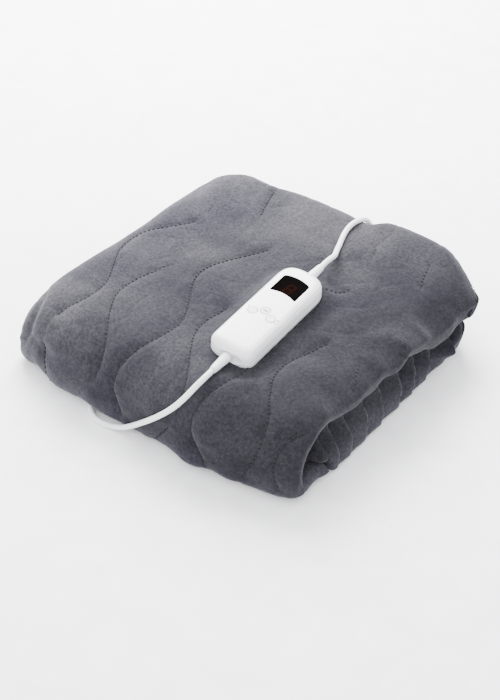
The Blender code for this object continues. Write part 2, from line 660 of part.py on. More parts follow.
# ---- whole object --------------------------------------------------------------------------
def main():
    clear_scene()
    parts = make_collection("heated_throw")
    cutters = make_collection("cutters")
    looks = {
        "plastic": principled("white_plastic", (0.86, 0.86, 0.87), 0.22),
        "key": principled("key_plastic", (0.84, 0.84, 0.85), 0.28),
        "rubber": principled("white_cord_pvc", (0.83, 0.83, 0.84), 0.42),
        "fleece": principled("grey_fleece", (0.13, 0.125, 0.145), 0.95),
        "carrier": principled("heating_carrier", (0.72, 0.70, 0.66), 0.9),
        "window": principled("smoked_window", (0.010, 0.009, 0.010), 0.08),
        "board": principled("board_green", (0.03, 0.18, 0.08), 0.5),
        "black": principled("black_part", (0.02, 0.02, 0.02), 0.4),
        "capacitor": principled("capacitor_yellow", (0.55, 0.36, 0.05), 0.4),
        "glass": principled("fuse_glass", (0.75, 0.78, 0.78), 0.1),
        "steel": principled("zinc_steel", (0.62, 0.62, 0.60), 0.35, 1.0),
        "brass": principled("brass", (0.70, 0.52, 0.22), 0.3, 1.0),
        "label": principled("label_satin", (0.88, 0.88, 0.86), 0.6),
    }
    build_throw(parts, looks["fleece"], looks["carrier"])
    frame = empty("handset_frame", parts, handset_matrix())
    build_top_shell(parts, cutters, frame, looks["plastic"])
    build_bottom_shell(parts, cutters, frame, looks["plastic"])
    build_window(parts, cutters, frame, looks["window"])
    build_keys(parts, frame, looks["key"], looks["black"])
    build_electronics(parts, frame, looks)
    build_screws(parts, frame, looks["steel"])
    build_reliefs(parts, frame, looks["rubber"])
    joint = empty("connector_frame", parts, Matrix.Translation(CONNECTOR_AT))
    build_connector(parts, cutters, joint, looks["plastic"], looks["rubber"], looks["brass"])
    build_socket(parts, cutters, joint, looks["plastic"], looks["fleece"], looks["brass"])
    build_label(parts, looks["label"])
    build_coil(parts, looks["rubber"], looks["black"])
    plug_exit = build_plug(parts, cutters, looks)
    reach = HANDSET_LENGTH / 2 + RELIEF_LENGTH + GAP
    placing = handset_matrix()
    mains_out = [placing @ Vector((0.0, reach + run, PARTING)) for run in (0.0, STRAIGHT_OUT)]
    lead_out = [placing @ Vector((0.0, -reach - run, PARTING)) for run in (0.0, STRAIGHT_OUT)]
    connector_tip = CONNECTOR_SIZE[0] + CONNECTOR_RELIEF + GAP
    lead_in = [CONNECTOR_AT - Vector((connector_tip + run, 0.0, 0.0)) for run in (STRAIGHT_OUT, 0.0)]
    plug_in = [plug_exit + Vector((run, 0.0, 0.0)) for run in (STRAIGHT_OUT, 0.0)]
    cord_tube("lead_cord", [*lead_out, *LEAD_ROUTE, *lead_in], parts, looks["rubber"])
    cord_tube("mains_cord", [*mains_out, *MAINS_ROUTE], parts, looks["rubber"])
    cord_tube("mains_cord_tail", [*TAIL_ROUTE, *plug_in], parts, looks["rubber"])
    cutters.hide_render = True


main()
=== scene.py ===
"""The looks of the folded electric heated throw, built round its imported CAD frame. Units are metres."""
import json
import math

import bmesh
import bpy
import numpy as np
from mathutils import Matrix, Vector


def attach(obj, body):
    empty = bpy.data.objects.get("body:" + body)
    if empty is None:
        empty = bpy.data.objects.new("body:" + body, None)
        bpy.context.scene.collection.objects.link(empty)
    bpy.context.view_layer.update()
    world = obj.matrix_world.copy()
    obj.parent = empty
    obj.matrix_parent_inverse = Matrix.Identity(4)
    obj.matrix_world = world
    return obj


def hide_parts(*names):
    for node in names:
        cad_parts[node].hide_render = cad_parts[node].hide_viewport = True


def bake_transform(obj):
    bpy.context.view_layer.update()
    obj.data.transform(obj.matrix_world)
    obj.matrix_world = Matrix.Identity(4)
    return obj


# ---- camera ----
AZIMUTH = math.radians(39.4)
ELEVATION = math.radians(38.65)
CAMERA_DISTANCE = 1.6535
CAMERA_TARGET = Vector((0.0003, -0.0042, 0.0))
LENS = 120.56
SENSOR = 36.0

# ---- light and floor ----
WORLD_STRENGTH = 2.8
KEY_LIGHT = ((-0.72, 0.72, 0.98), (1.0, 1.0), 110.0)
FILL_LIGHT = ((0.6, -1.6, 1.1), (1.6, 1.6), 22.0)
FLOOR_HALF = 6.0
FLOOR_Z = -0.0004

# ---- painted light on the pile: its colour factor from the right side to the left, lighter towards the back-left key light, and from the foot up, lighter where the floor's bounce light falls ----
PAINTED_LIGHT_TURN = math.radians(195.0)
PAINTED_LIGHT_SCALE = 2.2
PAINTED_LIGHT_ACROSS = [(0.10, (0.40, 0.40, 0.43)), (0.40, (0.78, 0.77, 0.80)), (0.60, (1.05, 1.05, 1.05)),
              (0.95, (1.9, 1.86, 1.86))]
# Painted bounce light: the pile lighter near the floor, fading with height.
PAINTED_BOUNCE_PER_HEIGHT = 20.0
PAINTED_BOUNCE_FOOT = [(0.12, (1.9, 1.9, 1.9)), (0.55, (1.0, 1.0, 1.0))]

# ---- cords, routed as their CAD solids are ----
CORD_RADIUS = 0.00275
STRAIGHT_OUT = 0.0115
CORD_STEP = 0.0035
LEAD_ROUTE = [
    (0.0590, -0.1490, 0.0800), (0.0570, -0.1562, 0.0752), (0.0537, -0.1618, 0.0691),
    (0.0490, -0.1662, 0.0622), (0.0428, -0.1694, 0.0548), (0.0350, -0.1718, 0.0468),
    (0.0256, -0.1735, 0.0380), (0.0141, -0.1747, 0.0280), (0.0015, -0.1752, 0.0175),
    (-0.0115, -0.1758, 0.0082), (-0.0240, -0.1773, 0.0040), (-0.0350, -0.1786, 0.0030),
    (-0.0448, -0.1780, 0.0030), (-0.0538, -0.1735, 0.0030), (-0.0603, -0.1658, 0.0030),
    (-0.0632, -0.1560, 0.0030), (-0.0630, -0.1450, 0.0030), (-0.0585, -0.1345, 0.0030),
    (-0.0515, -0.1245, 0.0031), (-0.0425, -0.1145, 0.0034), (-0.0353, -0.1062, 0.0042),
    (-0.0290, -0.0985, 0.0052), (-0.0230, -0.0922, 0.0064), (-0.0150, -0.0877, 0.0076),
]
MAINS_ROUTE = [
    (0.0466, 0.0640, 0.0953), (0.0438, 0.0718, 0.0920), (0.0392, 0.0800, 0.0888),
    (0.0345, 0.0890, 0.0862), (0.0298, 0.0990, 0.0847), (0.0250, 0.1095, 0.0840),
    (0.0208, 0.1205, 0.0838), (0.0182, 0.1310, 0.0836), (0.0173, 0.1400, 0.0830),
    (0.0172, 0.1490, 0.0812), (0.0168, 0.1570, 0.0783), (0.0168, 0.1640, 0.0728),
    (0.0172, 0.1688, 0.0652), (0.0180, 0.1710, 0.0562), (0.0198, 0.1714, 0.0472),
    (0.0235, 0.1708, 0.0382), (0.0295, 0.1693, 0.0295), (0.0375, 0.1672, 0.0222),
]
TAIL_ROUTE = [(0.0203, 0.1862, 0.0046), (0.0160, 0.1824, 0.0047), (0.0105, 0.1799, 0.0050),
              (0.0050, 0.1787, 0.0056)]
INTO_COIL = [(0.0475, 0.1657, 0.0180)]
OUT_OF_COIL = [(0.0258, 0.1957, 0.0046), (0.0238, 0.1906, 0.0046)]
COIL_CENTRE = Vector((0.060, 0.1985, 0.0018))
COIL_MEAN_RADIUS = 0.028
COIL_SECTION = 0.0165
COIL_START = math.radians(270.0)
COIL_STEPS = 24
CONNECTOR_TIP = Vector((0.0057, -0.086, 0.008))
PLUG_TIP = Vector((-0.0107, 0.1785, 0.006))

# ---- handset placing ----
HANDSET_TOP_AT = Vector((0.055, -0.043, 0.1016))
HANDSET_YAW = math.radians(4.0)
HANDSET_ROLL = math.radians(5.5)
HANDSET_PITCH = math.radians(4.0)
HANDSET_LENGTH = 0.130
HANDSET_WIDTH = 0.047
HANDSET_HEIGHT = 0.022
PARTING = 0.010
RELIEF_REACH = 0.0223
DISPLAY_END = (0.022, 2.8)
LEAD_END = (0.013, 3.2)
FACE_CROWN = 0.0006
WINDOW_WIDTH = 0.028
WINDOW_FROM = 0.0203
WINDOW_TO = 0.0453
WINDOW_BULGE = 0.003
KEY_RADIUS = 0.0048
KEY_PROUD = 0.0008
KEYS = {"left": (-0.010, -0.012), "centre": (0.0, -0.006), "right": (0.010, -0.012)}
# How far each level of the shells is set in from the outline, and its height.
TOP_PROFILE = [(0.0004, PARTING + 0.00005), (0.0, PARTING + 0.0004), (0.0, 0.0138), (0.0003, 0.0163),
               (0.0011, 0.0186), (0.0024, 0.0204), (0.0044, 0.0216), (0.0070, 0.0220)]
BOTTOM_PROFILE = [(0.0065, 0.0), (0.0040, 0.0004), (0.0018, 0.0018), (0.0005, 0.0042), (0.0, 0.0070),
                  (0.0, PARTING - 0.0004), (0.0004, PARTING - 0.00005)]

# ---- the padded wrap: back fold, top run and front roll ----
WRAP_THICKNESS = 0.0190
TOP_Z = 0.0780
BACK_Y = 0.1465
BACK_RADIUS = 0.0180
BACK_TUCK = 0.010
FRONT_CURVE = [(-0.105, 0.0780), (-0.122, 0.0774), (-0.138, 0.0744), (-0.151, 0.0676), (-0.161, 0.0574),
               (-0.1675, 0.0450), (-0.1705, 0.0315), (-0.1712, 0.0190), (-0.1690, 0.0090), (-0.1620, 0.0028),
               (-0.150, 0.0008), (-0.130, 0.0008), (-0.1075, 0.0008)]
S_ORIGIN = 0.150
WRAP_LEFT = -0.1690
WRAP_RIGHT = 0.1715
OUTER_EDGE = 0.024
INNER_EDGE = 0.010
S_STEP = 0.0018
X_STEP = 0.0018
STITCH_PITCH = 0.0046
STITCH_SHARE = 0.52
STITCH_RISE = 0.0008
# A stitch's radius where the pile nearly hides it, and how much thicker a fully shown one is.
STITCH_RADIUS = (0.00042, 0.00034)
# How far the right edge of the top layer hangs, as (y, drop).
LIP_DROPS = [(-0.160, 0.002), (-0.128, 0.003), (-0.105, 0.001), (-0.088, 0.001), (-0.065, 0.006),
             (-0.045, 0.007), (-0.029, 0.011), (-0.009, 0.004), (0.017, 0.000), (0.039, 0.009),
             (0.082, 0.018), (0.114, 0.016), (0.140, 0.018), (0.170, 0.018)]

# ---- the inner folds seen at the right ----
NOSE_Y = -0.1325
NOSE_Z = 0.0390
NOSE_RADIUS = 0.0180
CORE_LEFT = -0.164
CORE_RIGHT = 0.160
# The lower wall of folded layers on the right: where each fold's ridge stands.
WALL_RIDGES = [-0.140, -0.114, -0.093, -0.072, -0.046, -0.018, 0.012, 0.036, 0.062, 0.095, 0.130, 0.165]

# Each stitched row: its turning points (distance along the strip, x), and the stretches where its
# stitches show between the pile.
STITCH_ROWS = [
    ([(-0.070, -0.108), (0.010, -0.140), (0.095, -0.110), (0.163, -0.144), (0.254, -0.1075), (0.322, -0.1255),
      (0.400, -0.108), (0.480, -0.138)], [(0.105, 0.302), (0.332, 0.360)]),
    ([(-0.100, -0.060), (-0.030, -0.090), (0.100, -0.060), (0.232, -0.091), (0.321, -0.050), (0.400, -0.085),
      (0.480, -0.050)], [(0.004, 0.056), (0.192, 0.336)]),
    ([(-0.090, -0.018), (-0.010, -0.050), (0.080, -0.018), (0.161, -0.052), (0.250, -0.0125), (0.324, -0.030),
      (0.410, -0.005), (0.480, -0.030)], [(0.098, 0.362)]),
    ([(-0.110, 0.036), (-0.030, 0.003), (0.090, 0.036), (0.222, 0.003), (0.320, 0.0475), (0.400, 0.010),
      (0.480, 0.036)], [(0.195, 0.312), (0.342, 0.372)]),
    ([(-0.090, 0.079), (-0.010, 0.045), (0.088, 0.079), (0.165, 0.042), (0.256, 0.0777), (0.322, 0.065),
      (0.400, 0.100), (0.480, 0.070)], [(0.100, 0.132), (0.205, 0.360)]),
    ([(-0.110, 0.134), (-0.030, 0.100), (0.100, 0.140), (0.226, 0.100), (0.320, 0.133), (0.400, 0.110),
      (0.480, 0.134)], [(0.024, 0.056), (0.178, 0.362)]),
    ([(-0.070, 0.172), (0.010, 0.150), (0.090, 0.172), (0.160, 0.148), (0.250, 0.178), (0.337, 0.149),
      (0.400, 0.165), (0.480, 0.150)], [(0.176, 0.212), (0.290, 0.362)]),
]


# ---- mesh helpers ----
def link(item):
    bpy.context.scene.collection.objects.link(item)
    return item


def mesh_object(name, points, faces, material, smooth=True):
    mesh = bpy.data.meshes.new(name)
    mesh.from_pydata([tuple(point) for point in points], [], [tuple(face) for face in faces])
    mesh.materials.append(material)
    if smooth:
        mesh.shade_smooth()
    mesh.update()
    return link(bpy.data.objects.new(name, mesh))


def closed_loft(name, rings, material):
    """A closed solid through equal rings of points, an array of ring, point and coordinate."""
    count, around = rings.shape[:2]
    ring = np.arange(count - 1)[:, None] * around
    step = np.arange(around)[None, :]
    after = (step + 1) % around
    sides = np.stack([ring + step, ring + after, ring + around + after, ring + around + step], axis=-1)
    points = rings.reshape(-1, 3)
    faces = sides.reshape(-1, 4).tolist()
    faces.append(list(range(around))[::-1])
    faces.append(list(range((count - 1) * around, count * around)))
    item = mesh_object(name, points.tolist(), faces, material)
    shape = bmesh.new()
    shape.from_mesh(item.data)
    bmesh.ops.recalc_face_normals(shape, faces=shape.faces)
    shape.to_mesh(item.data)
    shape.free()
    return item


def smooth_points(route, step):
    """Evenly spaced points on a smooth curve through the route's own points."""
    points = [Vector(point) for point in route]
    ends = [2 * points[0] - points[1]] + points + [2 * points[-1] - points[-2]]
    fine = []
    for a, b, c, d in zip(ends, ends[1:], ends[2:], ends[3:]):
        for index in range(16):
            t = index / 16
            fine.append(0.5 * (2 * b + (c - a) * t + (2 * a - 5 * b + 4 * c - d) * t ** 2
                               + (3 * b - 3 * c + d - a) * t ** 3))
    fine.append(points[-1])
    travelled = [0.0]
    for a, b in zip(fine, fine[1:]):
        travelled.append(travelled[-1] + (b - a).length)
    count = max(2, round(travelled[-1] / step))
    even = []
    place = 0
    for index in range(count + 1):
        wanted = travelled[-1] * index / count
        while place < len(fine) - 2 and travelled[place + 1] < wanted:
            place += 1
        share = (wanted - travelled[place]) / (travelled[place + 1] - travelled[place])
        even.append(fine[place].lerp(fine[place + 1], share))
    return even


def lumps(u, v, size, seed):
    """Smooth random heights between -1 and 1 over two coordinates, the same on every run."""
    table = np.random.RandomState(seed).rand(64, 64) * 2.0 - 1.0
    gu = np.asarray(u) / size + 1000.0
    gv = np.asarray(v) / size + 1000.0
    iu = np.floor(gu).astype(int)
    iv = np.floor(gv).astype(int)
    fu = gu - iu
    fv = gv - iv
    fu = fu ** 3 * (fu * (fu * 6.0 - 15.0) + 10.0)
    fv = fv ** 3 * (fv * (fv * 6.0 - 15.0) + 10.0)
    a = table[iu % 64, iv % 64]
    b = table[(iu + 1) % 64, iv % 64]
    c = table[iu % 64, (iv + 1) % 64]
    d = table[(iu + 1) % 64, (iv + 1) % 64]
    return (a * (1 - fu) + b * fu) * (1 - fv) + (c * (1 - fu) + d * fu) * fv


def ramp(value, start, end):
    """0 before start, 1 after end, eased between them."""
    t = np.clip((value - start) / (end - start), 0.0, 1.0)
    return t * t * (3.0 - 2.0 * t)


def hump(value, centre, width):
    """1 at the centre, falling away smoothly on both sides."""
    return np.exp(-((value - centre) / width) ** 2)


# ---- materials ----
def new_material(name):
    material = bpy.data.materials.new(name)
    material.use_nodes = True
    tree = material.node_tree
    shader = tree.nodes["Principled BSDF"]
    return material, tree, shader


def set_sockets(node, **values):
    """Sets constant values on a node's sockets; an underscore in a name stands for a space."""
    for name, value in values.items():
        node.inputs[name.replace("_", " ")].default_value = value


def noise_node(tree, scale, detail=3.0, distortion=0.0, roughness=0.5, stretch=None):
    coords = tree.nodes.new("ShaderNodeTexCoord")
    node = tree.nodes.new("ShaderNodeTexNoise")
    set_sockets(node, Scale=scale, Detail=detail, Roughness=roughness, Distortion=distortion)
    source = coords.outputs["Object"]
    if stretch is not None:
        mapping = tree.nodes.new("ShaderNodeMapping")
        mapping.inputs["Scale"].default_value = stretch
        tree.links.new(source, mapping.inputs["Vector"])
        source = mapping.outputs["Vector"]
    tree.links.new(source, node.inputs["Vector"])
    return node.outputs["Fac"]


def ramp_node(tree, source, stops):
    node = tree.nodes.new("ShaderNodeValToRGB")
    elements = node.color_ramp.elements
    while len(elements) < len(stops):
        elements.new(0.5)
    for element, (place, colour) in zip(elements, stops):
        element.position = place
        element.color = (*colour, 1.0)
    tree.links.new(source, node.inputs["Fac"])
    return node.outputs["Color"]


def mixed(tree, factor, first, second, blend="MIX"):
    node = tree.nodes.new("ShaderNodeMix")
    node.data_type = "RGBA"
    node.blend_type = blend
    if isinstance(factor, float):
        node.inputs[0].default_value = factor
    else:
        tree.links.new(factor, node.inputs[0])
    tree.links.new(first, node.inputs[6])
    tree.links.new(second, node.inputs[7])
    return node.outputs[2]


def bump_chain(tree, shader, layers):
    """Bump nodes in a row from (height output, strength, distance) to the shader's normal."""
    normal = None
    for height, strength, distance in layers:
        node = tree.nodes.new("ShaderNodeBump")
        set_sockets(node, Strength=strength, Distance=distance)
        tree.links.new(height, node.inputs["Height"])
        if normal is not None:
            tree.links.new(normal, node.inputs["Normal"])
        normal = node.outputs["Normal"]
    tree.links.new(normal, shader.inputs["Normal"])


def painted_light_gradient(tree):
    """Painted light and sheen on the pile: lighter on the left, towards the key light, and at the foot, where
    the floor's light bounces; darker on the right.
    """
    coords = tree.nodes.new("ShaderNodeTexCoord")
    mapping = tree.nodes.new("ShaderNodeMapping")
    set_sockets(mapping, Location=(0.5, 0.0, 0.0), Rotation=(0.0, 0.0, PAINTED_LIGHT_TURN),
                Scale=(PAINTED_LIGHT_SCALE, PAINTED_LIGHT_SCALE, PAINTED_LIGHT_SCALE))
    gradient = tree.nodes.new("ShaderNodeTexGradient")
    tree.links.new(coords.outputs["Object"], mapping.inputs["Vector"])
    tree.links.new(mapping.outputs["Vector"], gradient.inputs["Vector"])
    across = ramp_node(tree, gradient.outputs["Color"], PAINTED_LIGHT_ACROSS)
    parts = tree.nodes.new("ShaderNodeSeparateXYZ")
    height = tree.nodes.new("ShaderNodeMath")
    height.operation = "MULTIPLY"
    height.inputs[1].default_value = PAINTED_BOUNCE_PER_HEIGHT
    tree.links.new(coords.outputs["Object"], parts.inputs["Vector"])
    tree.links.new(parts.outputs["Z"], height.inputs[0])
    foot = ramp_node(tree, height.outputs["Value"], PAINTED_BOUNCE_FOOT)
    return mixed(tree, 1.0, across, foot, "MULTIPLY")


def velvet(name, dark, mid, light):
    """Flannel fleece: a short dense pile whose nap lies in lighter and darker patches, under a painted light
    gradient.
    """
    material, tree, shader = new_material(name)
    patches = noise_node(tree, 9.0, 3.0, 0.5, 0.5)
    streaks = noise_node(tree, 60.0, 4.0, 0.5, 0.6, (1.0, 0.45, 1.0))
    tufts = noise_node(tree, 330.0, 4.0, 0.2, 0.75)
    pile = noise_node(tree, 1100.0, 3.0, 0.0, 0.7)
    nap = ramp_node(tree, patches, [(0.32, dark), (0.50, mid), (0.68, light)])
    brushed = ramp_node(tree, streaks, [(0.30, (0.80, 0.80, 0.82)), (0.70, (1.14, 1.14, 1.12))])
    mottle = ramp_node(tree, tufts, [(0.30, (0.45, 0.45, 0.47)), (0.70, (1.60, 1.60, 1.58))])
    grain = ramp_node(tree, pile, [(0.30, (0.60, 0.60, 0.62)), (0.70, (1.35, 1.35, 1.34))])
    colour = mixed(tree, 0.8, nap, brushed, "MULTIPLY")
    colour = mixed(tree, 0.8, colour, mottle, "MULTIPLY")
    colour = mixed(tree, 0.7, colour, grain, "MULTIPLY")
    # Painted light: the pile made lighter to the back-left and at the foot.
    colour = mixed(tree, 1.0, colour, painted_light_gradient(tree), "MULTIPLY")
    tree.links.new(colour, shader.inputs["Base Color"])
    set_sockets(shader, Roughness=0.95, Specular_IOR_Level=0.05, Sheen_Weight=0.16, Sheen_Roughness=0.35,
                Sheen_Tint=(0.86, 0.85, 0.92, 1.0))
    bump_chain(tree, shader, [(streaks, 0.35, 0.0020), (tufts, 0.60, 0.0012), (pile, 0.55, 0.0006)])
    return material


def plastic(name, colour, roughness, grain=0.10, scale=900.0, coat=0.0):
    """Moulded plastic: a fine spark-eroded grain and slight changes of gloss."""
    material, tree, shader = new_material(name)
    fine = noise_node(tree, scale, 3.0, 0.0, 0.6)
    broad = noise_node(tree, 28.0, 3.0, 0.3, 0.5)
    lighter = tuple(min(1.0, channel * 1.03) for channel in colour)
    darker = tuple(channel * 0.95 for channel in colour)
    tint = ramp_node(tree, broad, [(0.35, darker), (0.65, lighter)])
    gloss = ramp_node(tree, broad, [(0.30, (roughness * 0.85,) * 3), (0.70, (roughness * 1.2,) * 3)])
    tree.links.new(tint, shader.inputs["Base Color"])
    tree.links.new(gloss, shader.inputs["Roughness"])
    set_sockets(shader, Coat_Weight=coat, Coat_Roughness=0.08)
    bump_chain(tree, shader, [(fine, grain, 0.0002)])
    return material


def dark_glass(name):
    """Smoked acrylic: near black, with a trace of haze and fine scratches."""
    material, tree, shader = new_material(name)
    haze = noise_node(tree, 40.0, 3.0, 0.3, 0.5)
    scratches = noise_node(tree, 900.0, 2.0, 0.0, 0.5, (1.0, 0.06, 1.0))
    tint = ramp_node(tree, haze, [(0.3, (0.0016, 0.0013, 0.0014)), (0.7, (0.0032, 0.0026, 0.0026))])
    gloss = ramp_node(tree, scratches, [(0.3, (0.16, 0.16, 0.16)), (0.7, (0.24, 0.24, 0.24))])
    tree.links.new(tint, shader.inputs["Base Color"])
    tree.links.new(gloss, shader.inputs["Roughness"])
    shader.inputs["Specular IOR Level"].default_value = 0.0
    bump_chain(tree, shader, [(scratches, 0.02, 0.0001)])
    return material


def glowing(name, colour, strength):
    """A lit digit seen dimly through the window."""
    material, tree, shader = new_material(name)
    uneven = noise_node(tree, 300.0, 2.0, 0.0, 0.5)
    tint = ramp_node(tree, uneven, [(0.3, tuple(c * 0.7 for c in colour)), (0.7, colour)])
    tree.links.new(tint, shader.inputs["Base Color"])
    tree.links.new(tint, shader.inputs["Emission Color"])
    set_sockets(shader, Emission_Strength=strength, Roughness=0.6, Specular_IOR_Level=0.0)
    bump_chain(tree, shader, [(uneven, 0.1, 0.0001)])
    return material


def metal(name, colour, roughness):
    material, tree, shader = new_material(name)
    brushed = noise_node(tree, 500.0, 3.0, 0.0, 0.6, (1.0, 0.08, 1.0))
    tint = ramp_node(tree, brushed, [(0.3, tuple(c * 0.86 for c in colour)), (0.7, colour)])
    tree.links.new(tint, shader.inputs["Base Color"])
    set_sockets(shader, Metallic=1.0, Roughness=roughness)
    bump_chain(tree, shader, [(brushed, 0.2, 0.0002)])
    return material


def thread(name, colour):
    material, tree, shader = new_material(name)
    twist = noise_node(tree, 1500.0, 2.0, 0.0, 0.5)
    tint = ramp_node(tree, twist, [(0.3, tuple(c * 0.6 for c in colour)), (0.7, colour)])
    tree.links.new(tint, shader.inputs["Base Color"])
    shader.inputs["Roughness"].default_value = 0.8
    bump_chain(tree, shader, [(twist, 0.4, 0.0003)])
    return material


def make_materials():
    return {
        "velvet": velvet("grey_velvet", (0.0195, 0.0190, 0.0240), (0.0310, 0.0302, 0.0352),
                         (0.0480, 0.0470, 0.0520)),
        "thread": thread("quilting_thread", (0.0012, 0.0011, 0.0016)),
        "shell": plastic("white_shell", (0.72, 0.72, 0.73), 0.26, 0.06, coat=0.25),
        "key": plastic("key_white", (0.67, 0.67, 0.68), 0.34, 0.08),
        "print": plastic("grey_print", (0.010, 0.010, 0.012), 0.5),
        "window": dark_glass("smoked_window_black"),
        "digit": glowing("dim_orange_digit", (0.020, 0.0036, 0.0016), 0.4),
        "pvc": plastic("white_cord_pvc", (0.71, 0.71, 0.72), 0.36, 0.10, 600.0),
        "black": plastic("black_moulding", (0.020, 0.020, 0.021), 0.45),
        "board": plastic("board_green", (0.03, 0.18, 0.08), 0.4),
        "capacitor": plastic("capacitor_yellow", (0.55, 0.36, 0.05), 0.35),
        "glass": plastic("fuse_glass_pale", (0.75, 0.78, 0.78), 0.12),
        "steel": metal("zinc_steel", (0.62, 0.62, 0.60), 0.34),
        "brass": metal("contact_brass", (0.72, 0.53, 0.23), 0.28),
        "label": thread("label_satin", (0.86, 0.86, 0.84)),
        "carrier": thread("heating_carrier", (0.72, 0.70, 0.66)),
        "carrier_grey": plastic("fuse_carrier_grey", (0.66, 0.66, 0.64), 0.4),
        "floor": plastic("studio_floor", (0.93, 0.93, 0.93), 0.75, 0.05, 40.0),
    }


SLOT_LOOKS = {
    "fleece": "velvet", "heating_carrier": "carrier", "label": "label", "white_plastic": "shell",
    "key_plastic": "key", "smoked_window": "window", "black_plastic": "black", "board": "board",
    "capacitor": "capacitor", "fuse_glass": "glass", "steel": "steel", "brass": "brass",
    "white_pvc": "pvc", "plug_plastic": "shell", "fuse_carrier": "carrier_grey",
}


def dress_frame(frame, looks):
    """Gives every CAD node the finished material of its slot."""
    for part in frame["record"]["subparts"]:
        item = frame["nodes"][part["node"]]
        material = looks[SLOT_LOOKS[part["material_slot"]]]
        for slot in item.material_slots:
            slot.material = material


# ---- camera, floor and light ----
def make_camera():
    back = Vector((math.sin(AZIMUTH) * math.cos(ELEVATION), -math.cos(AZIMUTH) * math.cos(ELEVATION),
                   math.sin(ELEVATION)))
    data = bpy.data.cameras.new("camera")
    data.sensor_fit = "HORIZONTAL"
    data.sensor_width = SENSOR
    data.lens = LENS
    data.clip_start = 0.05
    data.clip_end = 40.0
    camera = link(bpy.data.objects.new("camera", data))
    camera.location = CAMERA_TARGET + back * CAMERA_DISTANCE
    camera.rotation_mode = "QUATERNION"
    camera.rotation_quaternion = (-back).to_track_quat("-Z", "Y")
    bpy.context.scene.camera = camera


def area_light(name, place, size, power):
    data = bpy.data.lights.new(name, "AREA")
    data.shape = "RECTANGLE"
    data.size = size[0]
    data.size_y = size[1]
    data.energy = power
    light = link(bpy.data.objects.new(name, data))
    light.location = place
    light.rotation_mode = "QUATERNION"
    light.rotation_quaternion = (-Vector(place)).to_track_quat("-Z", "Y")


def make_studio(looks):
    world = bpy.data.worlds.new("studio")
    bpy.context.scene.world = world
    world.use_nodes = True
    background = world.node_tree.nodes["Background"]
    background.inputs["Color"].default_value = (0.95, 0.96, 1.0, 1.0)
    background.inputs["Strength"].default_value = WORLD_STRENGTH
    area_light("key_light", *KEY_LIGHT)
    area_light("fill_light", *FILL_LIGHT)
    points = [(x * FLOOR_HALF, y * FLOOR_HALF, FLOOR_Z) for x, y in ((-1, -1), (1, -1), (1, 1), (-1, 1))]
    floor = mesh_object("studio_floor", points, [(0, 1, 2, 3)], looks["floor"], False)


# ---- cords ----
def handset_matrix():
    """From handset coordinates, Z up from its underside, to the world."""
    tilt = Matrix.Rotation(HANDSET_PITCH, 4, "X")
    roll = Matrix.Rotation(HANDSET_ROLL, 4, "Y")
    yaw = Matrix.Rotation(HANDSET_YAW, 4, "Z")
    down = Matrix.Translation((0, 0, -HANDSET_HEIGHT))
    return Matrix.Translation(HANDSET_TOP_AT) @ yaw @ roll @ tilt @ down


def cord_ends():
    placing = handset_matrix()
    reach = HANDSET_LENGTH / 2 + RELIEF_REACH
    runs = (0.0, STRAIGHT_OUT)
    mains_out = [placing @ Vector((0.0, reach + run, PARTING)) for run in runs]
    lead_out = [placing @ Vector((0.0, -reach - run, PARTING)) for run in runs]
    lead_in = [CONNECTOR_TIP - Vector((run, 0.0, 0.0)) for run in reversed(runs)]
    plug_in = [PLUG_TIP + Vector((run, 0.0, 0.0)) for run in reversed(runs)]
    return lead_out, lead_in, mains_out, plug_in


def coil_points():
    """Nine turns, three across and three high, from the outer top one to the outer bottom one."""
    pitch = (COIL_SECTION - 2 * CORD_RADIUS) / 2
    order = [(1, 2), (0, 2), (-1, 2), (-1, 1), (-1, 0), (0, 0), (0, 1), (1, 1), (1, 0)]
    turns = [(COIL_MEAN_RADIUS + across * pitch, CORD_RADIUS + layer * pitch) for across, layer in order]
    points = []
    for turn, (radius, height) in enumerate(turns):
        after = turns[min(turn + 1, len(turns) - 1)]
        last = turn == len(turns) - 1
        for index in range(COIL_STEPS if not last else round(COIL_STEPS * 0.74)):
            share = index / COIL_STEPS
            change = max(0.0, (share - 0.72) / 0.28)
            change = change * change * (3 - 2 * change)
            r = radius + (after[0] - radius) * change
            z = height + (after[1] - height) * change
            angle = COIL_START + 2 * math.pi * share
            points.append(COIL_CENTRE + Vector((r * math.cos(angle), r * math.sin(angle), z)))
    return points


def tube_mesh(name, points, radius, material, sides=14):
    """A round tube along points, closed at each end with a flat cap."""
    frames = []
    normal = None
    for index, point in enumerate(points):
        along = (points[min(index + 1, len(points) - 1)] - points[max(index - 1, 0)]).normalized()
        if normal is None:
            normal = along.orthogonal().normalized()
        normal = (normal - along * normal.dot(along)).normalized()
        frames.append((point, normal, along.cross(normal)))
    rings = []
    for point, normal, side in frames:
        around = []
        for step in range(sides):
            angle = 2 * math.pi * step / sides
            around.append(point + (normal * math.cos(angle) + side * math.sin(angle)) * radius)
        rings.append(around)
    return closed_loft(name, np.array([[tuple(p) for p in ring] for ring in rings]), material)


